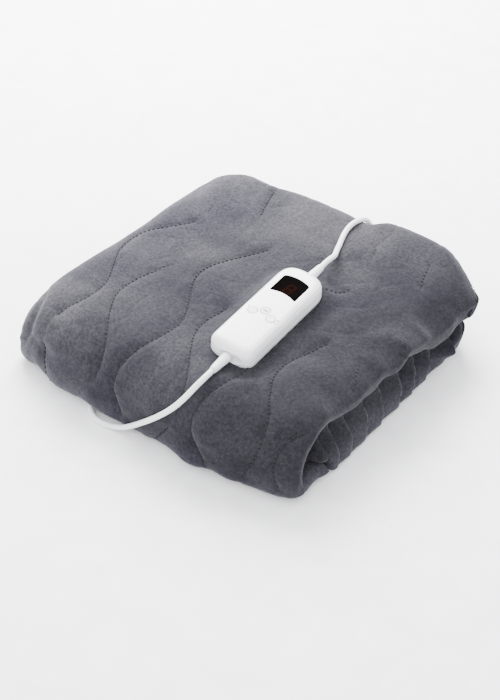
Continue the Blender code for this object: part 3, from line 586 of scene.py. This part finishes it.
def make_cords(looks):
    lead_out, lead_in, mains_out, plug_in = cord_ends()
    lead_path = smooth_points([*lead_out, *LEAD_ROUTE, *lead_in], CORD_STEP)
    lead = tube_mesh("lead_cord_look", lead_path, CORD_RADIUS, looks["pvc"])
    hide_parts("lead_cord")
    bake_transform(lead)
    before = smooth_points([*mains_out, *MAINS_ROUTE], CORD_STEP)
    coil = coil_points()
    after = smooth_points([*TAIL_ROUTE, *plug_in], CORD_STEP)
    mains_path = smooth_points([*before[:-1:2], *INTO_COIL, *coil, *OUT_OF_COIL, *after[::2]], CORD_STEP)
    curve = bpy.data.curves.new("mains_cord_look", "CURVE")
    curve.dimensions = "3D"
    curve.bevel_depth = CORD_RADIUS
    curve.bevel_resolution = 4
    curve.use_fill_caps = True
    spline = curve.splines.new("POLY")
    spline.points.add(len(mains_path) - 1)
    for point, place in zip(spline.points, mains_path):
        point.co = (*place, 1.0)
    curve.materials.append(looks["pvc"])
    mains = link(bpy.data.objects.new("mains_cord_look", curve))
    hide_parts("mains_cord", "mains_coil", "mains_cord_tail")
    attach(mains, "throw")
    return lead_path, mains_path


# ---- handset ----
def handset_outline(inset, steps=12):
    """A long box seen from above, each end rounded as a superellipse; the display end is rounder."""
    half = HANDSET_WIDTH / 2 - inset
    points = []
    for sign, (depth, power) in ((1.0, DISPLAY_END), (-1.0, LEAD_END)):
        straight = HANDSET_LENGTH / 2 - depth
        reach = depth - inset
        for index in range(2 * steps + 1):
            angle = math.pi * index / (2 * steps)
            across = abs(math.cos(angle)) ** (2 / power) * math.copysign(1.0, math.cos(angle))
            along = abs(math.sin(angle)) ** (2 / power)
            points.append((sign * half * across, sign * (straight + reach * along)))
    return points


def window_outline(grow):
    """The window's shape from above: two bowed ends with small rounded corners."""
    half = WINDOW_WIDTH / 2 + grow
    corner = 0.0018
    lower = []
    upper = []
    for index in range(25):
        t = math.sin(math.pi * (index / 24 - 0.5))
        x = half * t
        bulge = WINDOW_BULGE * (1 - t * t)
        past = max(0.0, abs(x) - (half - corner))
        inward = corner - math.sqrt(max(corner ** 2 - past ** 2, 0.0))
        lower.append((x, WINDOW_FROM - grow + bulge + inward))
        upper.append((x, WINDOW_TO + grow + bulge - inward))
    return lower + upper[::-1]


def stacked(name, layers, material, placing):
    """A closed solid through (outline, height) layers in handset coordinates, lowest first."""
    rings = [[tuple(placing @ Vector((x, y, z))) for x, y in outline] for outline, z in layers]
    return closed_loft(name, np.array(rings), material)


def carve(item, cutters):
    """Cuts the cutters out of a solid, then shades it smooth with its hard edges kept."""
    for cutter in cutters:
        boolean = item.modifiers.new("cut", "BOOLEAN")
        boolean.operation = "DIFFERENCE"
        boolean.solver = "EXACT"
        boolean.object = cutter
    graph = bpy.context.evaluated_depsgraph_get()
    solid = bpy.data.meshes.new_from_object(item.evaluated_get(graph))
    item.modifiers.clear()
    item.data = solid
    for cutter in cutters:
        bpy.data.objects.remove(cutter, do_unlink=True)
    solid.shade_smooth()
    solid.set_sharp_from_angle(angle=math.radians(32.0))


def disc(x, y, radius, count=40):
    return [(x + radius * math.cos(2 * math.pi * k / count), y + radius * math.sin(2 * math.pi * k / count))
            for k in range(count)]


def end_scoop(placing, material):
    """The hollow in the lead end that the strain relief comes out of."""
    rings = []
    for index in range(1, 16):
        polar = math.pi * index / 16
        ring = []
        for k in range(28):
            angle = 2 * math.pi * k / 28
            point = Vector((0.0045 + 0.0165 * math.sin(polar) * math.cos(angle),
                            -0.0705 + 0.0092 * math.cos(polar),
                            PARTING + 0.0008 + 0.0080 * math.sin(polar) * math.sin(angle)))
            ring.append(tuple(placing @ point))
        rings.append(ring)
    return closed_loft("scoop", np.array(rings), material)


def face_height(x):
    """The crown of the handset's face over its flat top."""
    return HANDSET_HEIGHT + FACE_CROWN * (1.0 - (x / (HANDSET_WIDTH / 2)) ** 2)


def build_handset(looks):
    placing = handset_matrix()
    shell = looks["shell"]
    wall = 0.0020
    layers = [(handset_outline(inset), z) for inset, z in TOP_PROFILE]
    rim = handset_outline(TOP_PROFILE[-1][0])
    longest = max(y for _, y in rim)
    widest = max(x for x, _ in rim)
    for share in (0.85, 0.65, 0.42, 0.20, 0.03):
        ring = [(x * share, y * (1.0 - (1.0 - share) * widest / longest)) for x, y in rim]
        layers.append((ring, HANDSET_HEIGHT + FACE_CROWN * (1.0 - share * share)))
    top = stacked("handset_top_look", layers, shell, placing)
    hollow = [(x, max(-0.057, min(0.057, y))) for x, y in handset_outline(wall)]
    cutters = [stacked("hollow", [(hollow, 0.0), (hollow, HANDSET_HEIGHT - wall)], shell, placing)]
    opening = window_outline(0.0003)
    cutters.append(stacked("opening", [(opening, 0.015), (opening, 0.026)], shell, placing))
    for x, y in KEYS.values():
        cutters.append(stacked("hole", [(disc(x, y, KEY_RADIUS + 0.0003), 0.015),
                                        (disc(x, y, KEY_RADIUS + 0.0003), 0.026)], shell, placing))
    cutters.append(end_scoop(placing, shell))
    carve(top, cutters)
    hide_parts("handset_top_shell")
    layers = [(handset_outline(inset), z) for inset, z in BOTTOM_PROFILE]
    bottom = stacked("handset_bottom_look", layers, shell, placing)
    inside = stacked("hollow", [(hollow, wall), (hollow, 0.020)], shell, placing)
    carve(bottom, [inside, end_scoop(placing, shell)])
    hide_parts("handset_bottom_shell")
    for item in (top, bottom):
        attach(item, "throw")
    build_window(looks, placing)
    build_prints(looks, placing)


def build_window(looks, placing):
    """The smoked window, slightly crowned, and the dim digit on its face."""
    outline = window_outline(0.0)
    middle_y = (WINDOW_FROM + WINDOW_TO + WINDOW_BULGE) / 2
    layers = [(outline, HANDSET_HEIGHT - 0.0016), (outline, HANDSET_HEIGHT + 0.0001)]
    for share, rise in ((0.97, 0.0003), (0.80, 0.00045), (0.50, 0.00055), (0.20, 0.0006), (0.03, 0.0006)):
        ring = [(x * share, middle_y + (y - middle_y) * share) for x, y in outline]
        layers.append((ring, HANDSET_HEIGHT + rise))
    window = stacked("display_window_look", layers, looks["window"], placing)
    window.data.set_sharp_from_angle(angle=math.radians(40.0))
    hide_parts("display_window")
    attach(window, "throw")
    across, along, lean = 0.0034, 0.0062, 0.14
    middle = Vector((0.0012, 0.0308, HANDSET_HEIGHT + 0.00058))
    corners = [(-across, 0.0), (-across, along), (across, along), (across, 0.0), (across, -along),
               (-across, -along)]
    strokes = [(corners[a], corners[b]) for a, b in ((0, 1), (1, 2), (2, 3), (3, 0), (3, 4), (4, 5), (5, 0))]
    points = []
    faces = []
    for start, end in strokes:
        ends = [middle + Vector((x + y * lean, y, 0.0)) for x, y in (start, end)]
        add_bar(points, faces, ends, 0.00038, 0.00012, placing)
    digit = mesh_object("display_digit", points, faces, looks["digit"], False)
    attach(digit, "throw")


def add_bar(points, faces, ends, half_width, rise, placing):
    """A thin flat bar with pointed ends, like a display's segment or a printed dash."""
    start, end = ends
    along = (end - start).normalized()
    side = Vector((-along.y, along.x, 0.0)) * half_width
    tip = along * half_width
    outline = [start + tip * 0.4, start + tip * 1.5 - side, end - tip * 1.5 - side, end - tip * 0.4,
               end - tip * 1.5 + side, start + tip * 1.5 + side]
    first = len(points)
    for lift in (0.0, rise):
        points += [placing @ (point + Vector((0.0, 0.0, lift))) for point in outline]
    faces.append(tuple(first + 6 + k for k in range(6)))
    faces.append(tuple(first + k for k in reversed(range(6))))
    faces += [(first + k, first + (k + 1) % 6, first + 6 + (k + 1) % 6, first + 6 + k) for k in range(6)]


def build_prints(looks, placing):
    """The dash printed on the centre key, and small marks outside the two others."""
    points = []
    faces = []
    x, y = KEYS["centre"]
    cap = HANDSET_HEIGHT + KEY_PROUD - 0.00005
    ends = [Vector((x - 0.0030, y, cap)), Vector((x + 0.0030, y, cap))]
    add_bar(points, faces, ends, 0.00065, 0.00016, placing)
    dash = mesh_object("key_dash_print", points, faces, looks["print"], False)
    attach(dash, "key_centre_cap")
    points = []
    faces = []
    for side, name in ((-1.0, "left"), (1.0, "right")):
        x, y = KEYS[name]
        for turn, reach in ((0.35, 0.0012), (-0.30, 0.0008)):
            angle = turn if side > 0 else math.pi - turn
            middle = Vector((x + 0.0068 * math.cos(angle), y + 0.0068 * math.sin(angle), 0.0))
            middle.z = face_height(middle.x) - 0.00012
            tilt = Vector((-math.sin(angle), math.cos(angle), 0.0)) * reach
            add_bar(points, faces, [middle - tilt, middle + tilt], 0.00042, 0.00026, placing)
    marks = mesh_object("key_mark_prints", points, faces, looks["print"], False)
    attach(marks, "throw")


# ---- the quilted surface ----
def row_x(row, s):
    """The x of a stitched row at distances s along the strip: an even swing between its turning points."""
    places = np.array([point[0] for point in row])
    values = np.array([point[1] for point in row])
    index = np.clip(np.searchsorted(places, s) - 1, 0, len(row) - 2)
    share = np.clip((s - places[index]) / (places[index + 1] - places[index]), 0.0, 1.0)
    swing = 0.5 - 0.5 * np.cos(math.pi * share)
    return values[index] + (values[index + 1] - values[index]) * swing


def row_shown(shown, s):
    """1 where a row's stitches show, 0 where the pile hides them; folded-under ends show a little."""
    s = np.asarray(s, dtype=float)
    weight = np.where((s < -0.012) | (s > 0.372), 0.6, 0.0)
    for start, end in shown:
        fading = 1.0 - ramp(s, end - 0.005, end + 0.005)
        weight = np.maximum(weight, ramp(s, start - 0.005, start + 0.005) * fading)
    return weight


def row_groove(s, x, width):
    """How much each point of the strip is drawn down by the stitched rows near it, from 0 to 1."""
    pull = np.zeros(np.broadcast(s, x).shape)
    for row, shown in STITCH_ROWS:
        slope = (row_x(row, s + 0.001) - row_x(row, s - 0.001)) / 0.002
        gap = np.abs(x - row_x(row, s)) / np.sqrt(1.0 + slope ** 2)
        pull = np.maximum(pull, np.exp(-gap / width) * (0.25 + 0.75 * row_shown(shown, s)))
    return pull


def strip_curve():
    """The unpadded outer surface as an even chain of y and z, and the distance s at each point."""
    low = TOP_Z - 2 * BACK_RADIUS
    route = [Vector((0.0, BACK_Y - BACK_TUCK, low)), Vector((0.0, BACK_Y - BACK_TUCK / 2, low))]
    for index in range(13):
        angle = math.radians(-90 + 15 * index)
        route.append(Vector((0.0, BACK_Y + BACK_RADIUS * math.cos(angle),
                             TOP_Z - BACK_RADIUS + BACK_RADIUS * math.sin(angle))))
    flat = 14
    for step in range(1, flat):
        route.append(Vector((0.0, BACK_Y + (FRONT_CURVE[0][0] - BACK_Y) * step / flat, TOP_Z)))
    route += [Vector((0.0, y, z)) for y, z in FRONT_CURVE]
    chain = np.array([tuple(point) for point in smooth_points(route, 0.0005)])
    travelled = np.concatenate([[0.0], np.cumsum(np.linalg.norm(np.diff(chain, axis=0), axis=1))])
    on_top = np.argmin(np.abs(chain[:, 1]) + np.abs(chain[:, 2] - TOP_Z))
    return chain, travelled - travelled[on_top] + S_ORIGIN - chain[on_top, 1]


def strip_base(stations, chain, places):
    """The unpadded outer surface at distances along the strip: y, z and the outward normal."""
    y = np.interp(stations, places, chain[:, 1])
    z = np.interp(stations, places, chain[:, 2])
    along = np.stack([np.interp(stations + 0.001, places, chain[:, axis])
                      - np.interp(stations - 0.001, places, chain[:, axis]) for axis in (1, 2)])
    along /= np.linalg.norm(along, axis=0)
    return y, z, along[1], -along[0]


def quilting(s, x):
    """How far the padding stands proud of the unpadded strip."""
    rise = 0.0030 - 0.0016 * row_groove(s, x, 0.0032) - 0.0014 * row_groove(s, x, 0.013)
    puckers = row_groove(s, x, 0.010) * lumps(s, x * 0.35, 0.0065, 11) * 0.0004
    broad = lumps(s, x, 0.075, 5) * 0.0018 + lumps(s, x, 0.034, 6) * 0.0008
    creases = np.abs(lumps(s * 0.7 + x * 0.5, x * 0.8 - s * 0.35, 0.030, 8))
    fine = -0.0007 * np.exp(-creases / 0.07)
    on_front = ramp(s, 0.255, 0.310)
    deep = -0.0020 * row_groove(s, x, 0.0075) * on_front
    return rise + puckers + broad + fine + deep + front_folds(s, x)


def front_folds(s, x):
    """The next layer showing past the left end, creases from it, and slack folds at the roll's foot."""
    edge = -0.1485 - 0.016 * ((s - 0.318) / 0.045) ** 2
    beside = x - edge
    near = ramp(s, 0.262, 0.285) * (1.0 - ramp(s, 0.350, 0.366))
    step = -0.0050 * np.exp(-np.abs(beside / 0.0042) ** 1.6) - 0.0015 * (1.0 - ramp(beside, -0.006, 0.000))
    folds = step * near
    from_left = np.exp(-np.maximum(x - WRAP_LEFT, 0.0) / 0.030)
    wander = 0.006 * lumps(x, x * 0.0 + 2.7, 0.030, 51)
    for place, depth in ((0.338, 0.0030), (0.292, 0.0018)):
        folds = folds - depth * np.exp(-((s - place - wander) / 0.0055) ** 2) * from_left
    low = ramp(s, 0.315, 0.345) * (1.0 - ramp(s, 0.385, 0.400))
    folds = folds + low * 0.0022 * lumps(s * 0.5 + x * 0.9, s * 1.1 - x * 0.4, 0.022, 52)
    hollow = hump(x, 0.100, 0.035) * hump(s, 0.176, 0.016)
    ledge = hump(x, 0.100, 0.035) * hump(s, 0.196, 0.014)
    return folds + 0.0022 * hollow - 0.0020 * ledge


def settle(points):
    """The slack of the folded cloth: a drooping left edge, tapering corners, a fuller back on the right."""
    x, y, z = points[..., 0], points[..., 1], points[..., 2]
    result = points.copy()
    left = np.clip((-x - 0.125) / 0.040, 0.0, 1.15) ** 2.4
    sag = 0.0145 * left
    front = ramp(-y, 0.085, 0.150)
    result[..., 1] += front * (0.012 * ramp(-x, 0.085, 0.172) + 0.017 * ramp(x, 0.065, 0.175))
    back = ramp(y, 0.085, 0.150)
    inward = (0.009 * ramp(-x, 0.040, 0.120) + 0.016 * ramp(-x, 0.118, 0.165) + 0.019 * ramp(x, 0.122, 0.172)
              + 0.002 * hump(x, 0.020, 0.014))
    high = ramp(z, 0.030, 0.048)
    bulge = ramp(x, 0.024, 0.046) - ramp(x, 0.105, 0.140)
    result[..., 1] += back * (0.0095 * bulge * high - inward)
    lift = 0.0028 * bulge * ramp(y, 0.050, 0.130) * high
    result[..., 2] = z * (1.0 - sag / TOP_Z) + lift
    return result


def press_under_cord(points, outward, path):
    """Lowers points so that they lie round a cord that rests on the surface, not through it."""
    axis = np.array([tuple(p) for p in path])
    near = (points > axis.min(axis=0) - 0.012).all(axis=-1) & (points < axis.max(axis=0) + 0.012).all(axis=-1)
    chosen = np.argwhere(near)
    if len(chosen) == 0:
        return points
    spots = points[near]
    normals = outward[near]
    best = np.empty(len(spots), dtype=int)
    for start in range(0, len(spots), 2000):
        block = spots[start:start + 2000]
        gaps = ((block[:, None, :] - axis[None, :, :]) ** 2).sum(axis=-1)
        best[start:start + 2000] = gaps.argmin(axis=1)
    ends = (best == 0) | (best == len(axis) - 1)
    offset = spots - axis[best]
    rise = (offset * normals).sum(axis=1)
    aside = np.linalg.norm(offset - rise[:, None] * normals, axis=1)
    reach = CORD_RADIUS + 0.0004
    inside = np.sqrt(np.maximum(reach ** 2 - np.minimum(aside, reach * 0.8) ** 2, 0.0))
    limit = -inside + np.maximum(aside - reach * 0.8, 0.0) * 1.1
    drop = np.where(ends | (np.abs(rise) > 0.014), 0.0, np.maximum(rise - limit, 0.0))
    result = points.copy()
    result[near] = spots - drop[:, None] * normals
    return result


def handset_gap(across, along):
    """How far a point of the handset's own plane lies outside its outline; negative inside."""
    depth, power = DISPLAY_END
    beyond = np.maximum(np.abs(along) - (HANDSET_LENGTH / 2 - depth), 0.0) / depth
    reach = (beyond ** power + (np.abs(across) / (HANDSET_WIDTH / 2)) ** power) ** (1.0 / power)
    return (reach - 1.0) * HANDSET_WIDTH / 2


def rest_under_handset(points):
    """Brings the top of the padding to the tilted handset, which sinks a little way into it."""
    to_handset = np.array(handset_matrix().inverted())
    local = points @ to_handset[:3, :3].T + to_handset[:3, 3]
    gap = handset_gap(local[..., 0], local[..., 1])
    inside = np.clip(gap + 0.005, 0.0, 0.005)
    cup = 0.005 - np.sqrt(np.maximum(0.005 ** 2 - inside ** 2, 0.0)) - 0.0005
    outside = np.maximum(gap, 0.0)
    wanted = cup - 0.0032 * ramp(outside, 0.004, 0.022)
    touch = 1.0 - ramp(outside, 0.002, 0.026)
    near_top = (local[..., 2] > -0.014) & (local[..., 2] < 0.014)
    shift = np.where(near_top, (wanted - local[..., 2]) * touch, 0.0)
    result = points.copy()
    result[..., 2] += shift
    return result


def edge_profile(left, right, edge, flat_step, round_steps, half):
    """Points across the strip and how far each sinks from the flat towards the middle of the edge."""
    turn = np.linspace(0.0, math.pi / 2, round_steps + 1)[::-1]
    near = edge * (1.0 - np.sin(turn))
    sink = half * (1.0 - np.cos(turn))
    flat = np.linspace(left + edge, right - edge, max(2, round((right - left - 2 * edge) / flat_step)))[1:-1]
    across = np.concatenate([left + near, flat, right - near[::-1]])
    drop = np.concatenate([sink, np.zeros(len(flat)), sink[::-1]])
    return across, drop


def build_wrap(looks, cord_paths):
    chain, places = strip_curve()
    first, last = places[0], places[-1]
    stations = np.linspace(first, last, round((last - first) / S_STEP))
    outer_x, outer_drop = edge_profile(WRAP_LEFT, WRAP_RIGHT, OUTER_EDGE, X_STEP, 12, 0.5)
    inner_x, inner_drop = edge_profile(WRAP_LEFT, WRAP_RIGHT, INNER_EDGE, 0.006, 6, 0.5)
    y, z, ny, nz = strip_base(stations, chain, places)
    from_end = np.minimum(stations - first, last - stations)
    fullness = np.sqrt(np.clip(1.0 - (1.0 - np.clip(from_end / 0.009, 0.0, 1.0)) ** 2, 0.0, 1.0))
    in_fold = ramp(S_ORIGIN - BACK_Y - stations, -0.006, 0.012)
    thick = WRAP_THICKNESS * np.maximum(fullness, 0.02) * (1.0 - in_fold * 0.12)
    middle = WRAP_THICKNESS / 2
    s_grid, x_grid = np.meshgrid(stations, outer_x, indexing="ij")
    inner_x_grid = np.meshgrid(stations, inner_x[1:-1][::-1], indexing="ij")[1]
    height = quilting(s_grid, x_grid) * (1.0 - outer_drop[None, :] * 1.2) * fullness[:, None]
    depth = thick[:, None] / 2 * (1.0 - 2.0 * outer_drop[None, :]) + height
    sunk = inner_drop[1:-1][::-1]
    inner_depth = -thick[:, None] / 2 * (1.0 - 2.0 * sunk[None, :])
    centre_y = (y - ny * middle)[:, None]
    centre_z = (z - nz * middle)[:, None]
    sides = []
    for grid, off, share in ((x_grid, depth, 0.6), (inner_x_grid, inner_depth, 1.0)):
        points = np.stack([grid + edge_shift(stations, grid), centre_y + ny[:, None] * off,
                           centre_z + nz[:, None] * off], axis=-1)
        points = settle(points)
        hang = np.interp(-points[..., 1], [-place for place, _ in LIP_DROPS][::-1],
                         [drop for _, drop in LIP_DROPS][::-1])
        on_top = np.maximum(nz, 0.0)[:, None]
        lobes = 0.0045 * lumps(points[..., 1], points[..., 1] * 0.0 + 4.2, 0.021, 61)
        points[..., 2] -= (share * hang + lobes) * on_top * ramp(grid, 0.132, WRAP_RIGHT + 0.004)
        sides.append(points)
    outer, inner = sides
    outward = np.stack([np.zeros_like(s_grid), np.broadcast_to(ny[:, None], s_grid.shape),
                        np.broadcast_to(nz[:, None], s_grid.shape)], axis=-1)
    outer = rest_under_handset(outer)
    for path in cord_paths:
        outer = press_under_cord(outer, outward, path)
    outer[..., 2] = np.maximum(outer[..., 2], 0.0002)
    rings = np.concatenate([outer, inner], axis=1)
    wrap = closed_loft("throw_wrap", rings, looks["velvet"])
    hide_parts("throw_face_fleece", "throw_heating_layer")
    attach(wrap, "throw")
    return stations, outer_x, outer


def edge_shift(stations, across):
    """How far the two cut edges wander in x along the strip."""
    right = 0.0030 * lumps(stations, stations * 0.0 + 0.3, 0.034, 21)[:, None]
    left = 0.0025 * lumps(stations, stations * 0.0 + 0.9, 0.040, 22)[:, None]
    return right * ramp(across, 0.10, WRAP_RIGHT) - left * ramp(-across, 0.10, -WRAP_LEFT)


def core_outline():
    """The inner folds' outline in y and z, inside the wrap."""
    points = [(-0.098, 0.0006), (0.135, 0.0006)]
    for index in range(9):
        angle = math.radians(-90 + 180 * index / 8)
        points.append((0.1365 + 0.0178 * math.cos(angle), 0.0184 + 0.0178 * math.sin(angle)))
    points += [(0.131, 0.0372), (0.129, 0.0575)]
    points.append((NOSE_Y, NOSE_Z + NOSE_RADIUS))
    for index in range(9):
        angle = math.radians(90 + 180 * index / 8)
        points.append((NOSE_Y + NOSE_RADIUS * math.cos(angle), NOSE_Z + NOSE_RADIUS * math.sin(angle)))
    points.append((-0.103, 0.0210))
    return points


def build_core(looks):
    outline = core_outline()
    shape = bmesh.new()
    left = [shape.verts.new((CORE_LEFT, y, z)) for y, z in outline]
    right = [shape.verts.new((CORE_RIGHT, y, z)) for y, z in outline]
    count = len(outline)
    for index in range(count):
        after = (index + 1) % count
        shape.faces.new((left[index], left[after], right[after], right[index]))
    shape.faces.new(left[::-1])
    shape.faces.new(right)
    bmesh.ops.recalc_face_normals(shape, faces=shape.faces)
    mesh = bpy.data.meshes.new("throw_core")
    shape.to_mesh(mesh)
    shape.free()
    core = link(bpy.data.objects.new("throw_core", mesh))
    remesh = core.modifiers.new("remesh", "REMESH")
    remesh.mode = "VOXEL"
    remesh.voxel_size = 0.0026
    relax = core.modifiers.new("relax", "SMOOTH")
    relax.factor = 0.5
    relax.iterations = 4
    graph = bpy.context.evaluated_depsgraph_get()
    solid = bpy.data.meshes.new_from_object(core.evaluated_get(graph))
    core.modifiers.clear()
    core.data = solid
    count = len(solid.vertices)
    flat = np.empty(count * 3)
    solid.vertices.foreach_get("co", flat)
    points = flat.reshape(-1, 3).copy()
    solid.vertices.foreach_get("normal", flat)
    points = shape_core(points, flat.reshape(-1, 3))
    solid.vertices.foreach_set("co", points.reshape(-1))
    solid.materials.clear()
    solid.materials.append(looks["velvet"])
    solid.shade_smooth()
    solid.update()
    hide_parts("throw_back_fleece")
    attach(core, "throw")


def wall_folds(y, z):
    """0 in the hollow behind a ridge of the folded wall, rising to 1 at the next ridge."""
    ridges = np.array(WALL_RIDGES)
    lean = y - 0.005 * (1.0 - ((z - 0.026) / 0.028) ** 2) + 0.0035 * lumps(y, z, 0.040, 31)
    index = np.clip(np.searchsorted(ridges, lean) - 1, 0, len(ridges) - 2)
    share = np.clip((lean - ridges[index]) / (ridges[index + 1] - ridges[index]), 0.0, 1.0)
    return np.where(share < 0.16, 1.0 - ramp(share, 0.0, 0.16), np.maximum(share - 0.16, 0.0) ** 1.35 * 1.26)


def right_wall(y, z):
    """The x of the lower wall on the right: wide at the floor, tucked in under the top layer."""
    foot = np.interp(y, [-0.150, -0.125, -0.080, -0.010, 0.050, 0.080, 0.150],
                     [0.168, 0.174, 0.1725, 0.168, 0.1645, 0.161, 0.158])
    belly = foot + 0.014 * hump(y, 0.108, 0.030) * hump(z, 0.024, 0.012)
    return belly + (0.160 - belly) * ramp(z, 0.018, 0.050)


def shape_core(points, normals):
    x, y, z = points.T
    result = points.copy()
    right = ramp(normals[:, 0], 0.2, 0.9)
    strength = 0.0070 + 0.0025 * lumps(y, z * 0.3, 0.05, 32)
    nose = np.hypot(y - NOSE_Y, z - NOSE_Z)
    in_nose = 1.0 - ramp(nose, 0.015, 0.021)
    rings = 0.0030 * np.cos(2 * math.pi * nose / 0.0085) - 0.010
    strength = strength * (0.30 + 0.70 * ramp(z, 0.004, 0.018)) * (1.0 + 0.9 * ramp(z, 0.022, 0.045))
    wall = right_wall(y, z) - CORE_RIGHT + (wall_folds(y, z) - 0.80) * strength
    result[:, 0] += right * (wall * (1.0 - in_nose) + rings * in_nose)
    left = ramp(-normals[:, 0], 0.2, 0.9)
    layers = np.abs(np.sin(math.pi * (z + 0.0015 * lumps(y, z, 0.06, 33)) / 0.0195))
    bulge = 0.0075 * layers ** 0.6 + 0.003 * lumps(y, z, 0.05, 34) - 0.002
    result[:, 0] -= left * bulge
    back = ramp(normals[:, 1], 0.2, 0.8)
    result[:, 1] += back * (0.0012 * lumps(x, z, 0.035, 35) + 0.0015 * lumps(x, z, 0.070, 36))
    result = settle(result)
    pocket = (1.0 - ramp(np.abs(x - 0.010), 0.088, 0.098)) * (1.0 - ramp(y, -0.060, -0.046))
    lift = pocket * (1.0 - ramp(z, 0.012, 0.020)) * 0.0185
    result[:, 2] = np.maximum(result[:, 2], lift)
    result[:, 2] = np.maximum(result[:, 2], 0.0003)
    return result


def build_stitches(looks, stations, across, outer):
    """Dark lock stitches, one short thread after another along every row."""
    points = []
    faces = []
    for number, (row, shown) in enumerate(STITCH_ROWS):
        s = stations[0] + 0.012
        while s < stations[-1] - 0.012:
            here = float(row_x(row, np.array(s)))
            ahead = float(row_x(row, np.array(s + 0.001)))
            slope = (ahead - here) / 0.001
            step = STITCH_PITCH / math.sqrt(1.0 + slope * slope)
            s_end = s + step * STITCH_SHARE
            ends = []
            for place in (s, s_end):
                ends.append(surface_point(stations, across, outer, place, float(row_x(row, np.array(place)))))
            seen = float(row_shown(shown, s)) - 0.35 + 0.5 * float(lumps(s, number * 0.37, 0.020, 41))
            if seen > 0.0 and WRAP_LEFT + 0.010 < here < WRAP_RIGHT - 0.008:
                add_stitch(points, faces, ends, min(seen, 1.0))
            s += step
    stitches = mesh_object("quilting_stitches", points, faces, looks["thread"])
    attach(stitches, "throw")


def surface_point(stations, across, outer, s, x):
    """A point on the padded surface and the outward normal there."""
    row = int(np.clip((s - stations[0]) / (stations[1] - stations[0]), 1, len(stations) - 3))
    share = (s - stations[row]) / (stations[1] - stations[0])
    column = int(np.clip(np.searchsorted(across, x) - 1, 1, len(across) - 3))
    side = (x - across[column]) / (across[column + 1] - across[column])
    a, b = outer[row, column], outer[row, column + 1]
    c, d = outer[row + 1, column], outer[row + 1, column + 1]
    point = (a * (1 - side) + b * side) * (1 - share) + (c * (1 - side) + d * side) * share
    normal = np.cross(c - a, b - a)
    return Vector(point), Vector(normal).normalized()


def add_stitch(points, faces, ends, seen):
    (start, normal), (end, _) = ends
    along = (end - start).normalized()
    side = along.cross(normal).normalized()
    radius = STITCH_RADIUS[0] + STITCH_RADIUS[1] * seen
    first = len(points)
    middle_one = start.lerp(end, 0.25) + normal * (STITCH_RISE + 0.0001)
    middle_two = start.lerp(end, 0.75) + normal * (STITCH_RISE + 0.0001)
    points.append(start + normal * (STITCH_RISE - 0.0002))
    for middle in (middle_one, middle_two):
        for step in range(6):
            angle = 2 * math.pi * step / 6
            points.append(middle + (side * math.cos(angle) + normal * math.sin(angle)) * radius)
    points.append(end + normal * (STITCH_RISE - 0.0002))
    tip = first + 13
    for step in range(6):
        after = (step + 1) % 6
        faces.append((first, first + 1 + after, first + 1 + step))
        faces.append((first + 1 + step, first + 1 + after, first + 7 + after, first + 7 + step))
        faces.append((tip, first + 7 + step, first + 7 + after))


with open("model.json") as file:
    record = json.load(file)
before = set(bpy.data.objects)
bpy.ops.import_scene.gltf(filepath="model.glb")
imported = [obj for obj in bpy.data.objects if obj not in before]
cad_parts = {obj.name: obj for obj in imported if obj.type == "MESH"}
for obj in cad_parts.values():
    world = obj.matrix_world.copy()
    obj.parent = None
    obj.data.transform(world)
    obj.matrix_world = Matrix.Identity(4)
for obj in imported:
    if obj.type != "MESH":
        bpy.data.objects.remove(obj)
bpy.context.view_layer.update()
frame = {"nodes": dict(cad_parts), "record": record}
looks = make_materials()
make_camera()
dress_frame(frame, looks)
cord_paths = make_cords(looks)
stations, across, outer = build_wrap(looks, cord_paths)
build_core(looks)
build_handset(looks)
build_stitches(looks, stations, across, outer)
make_studio(looks)
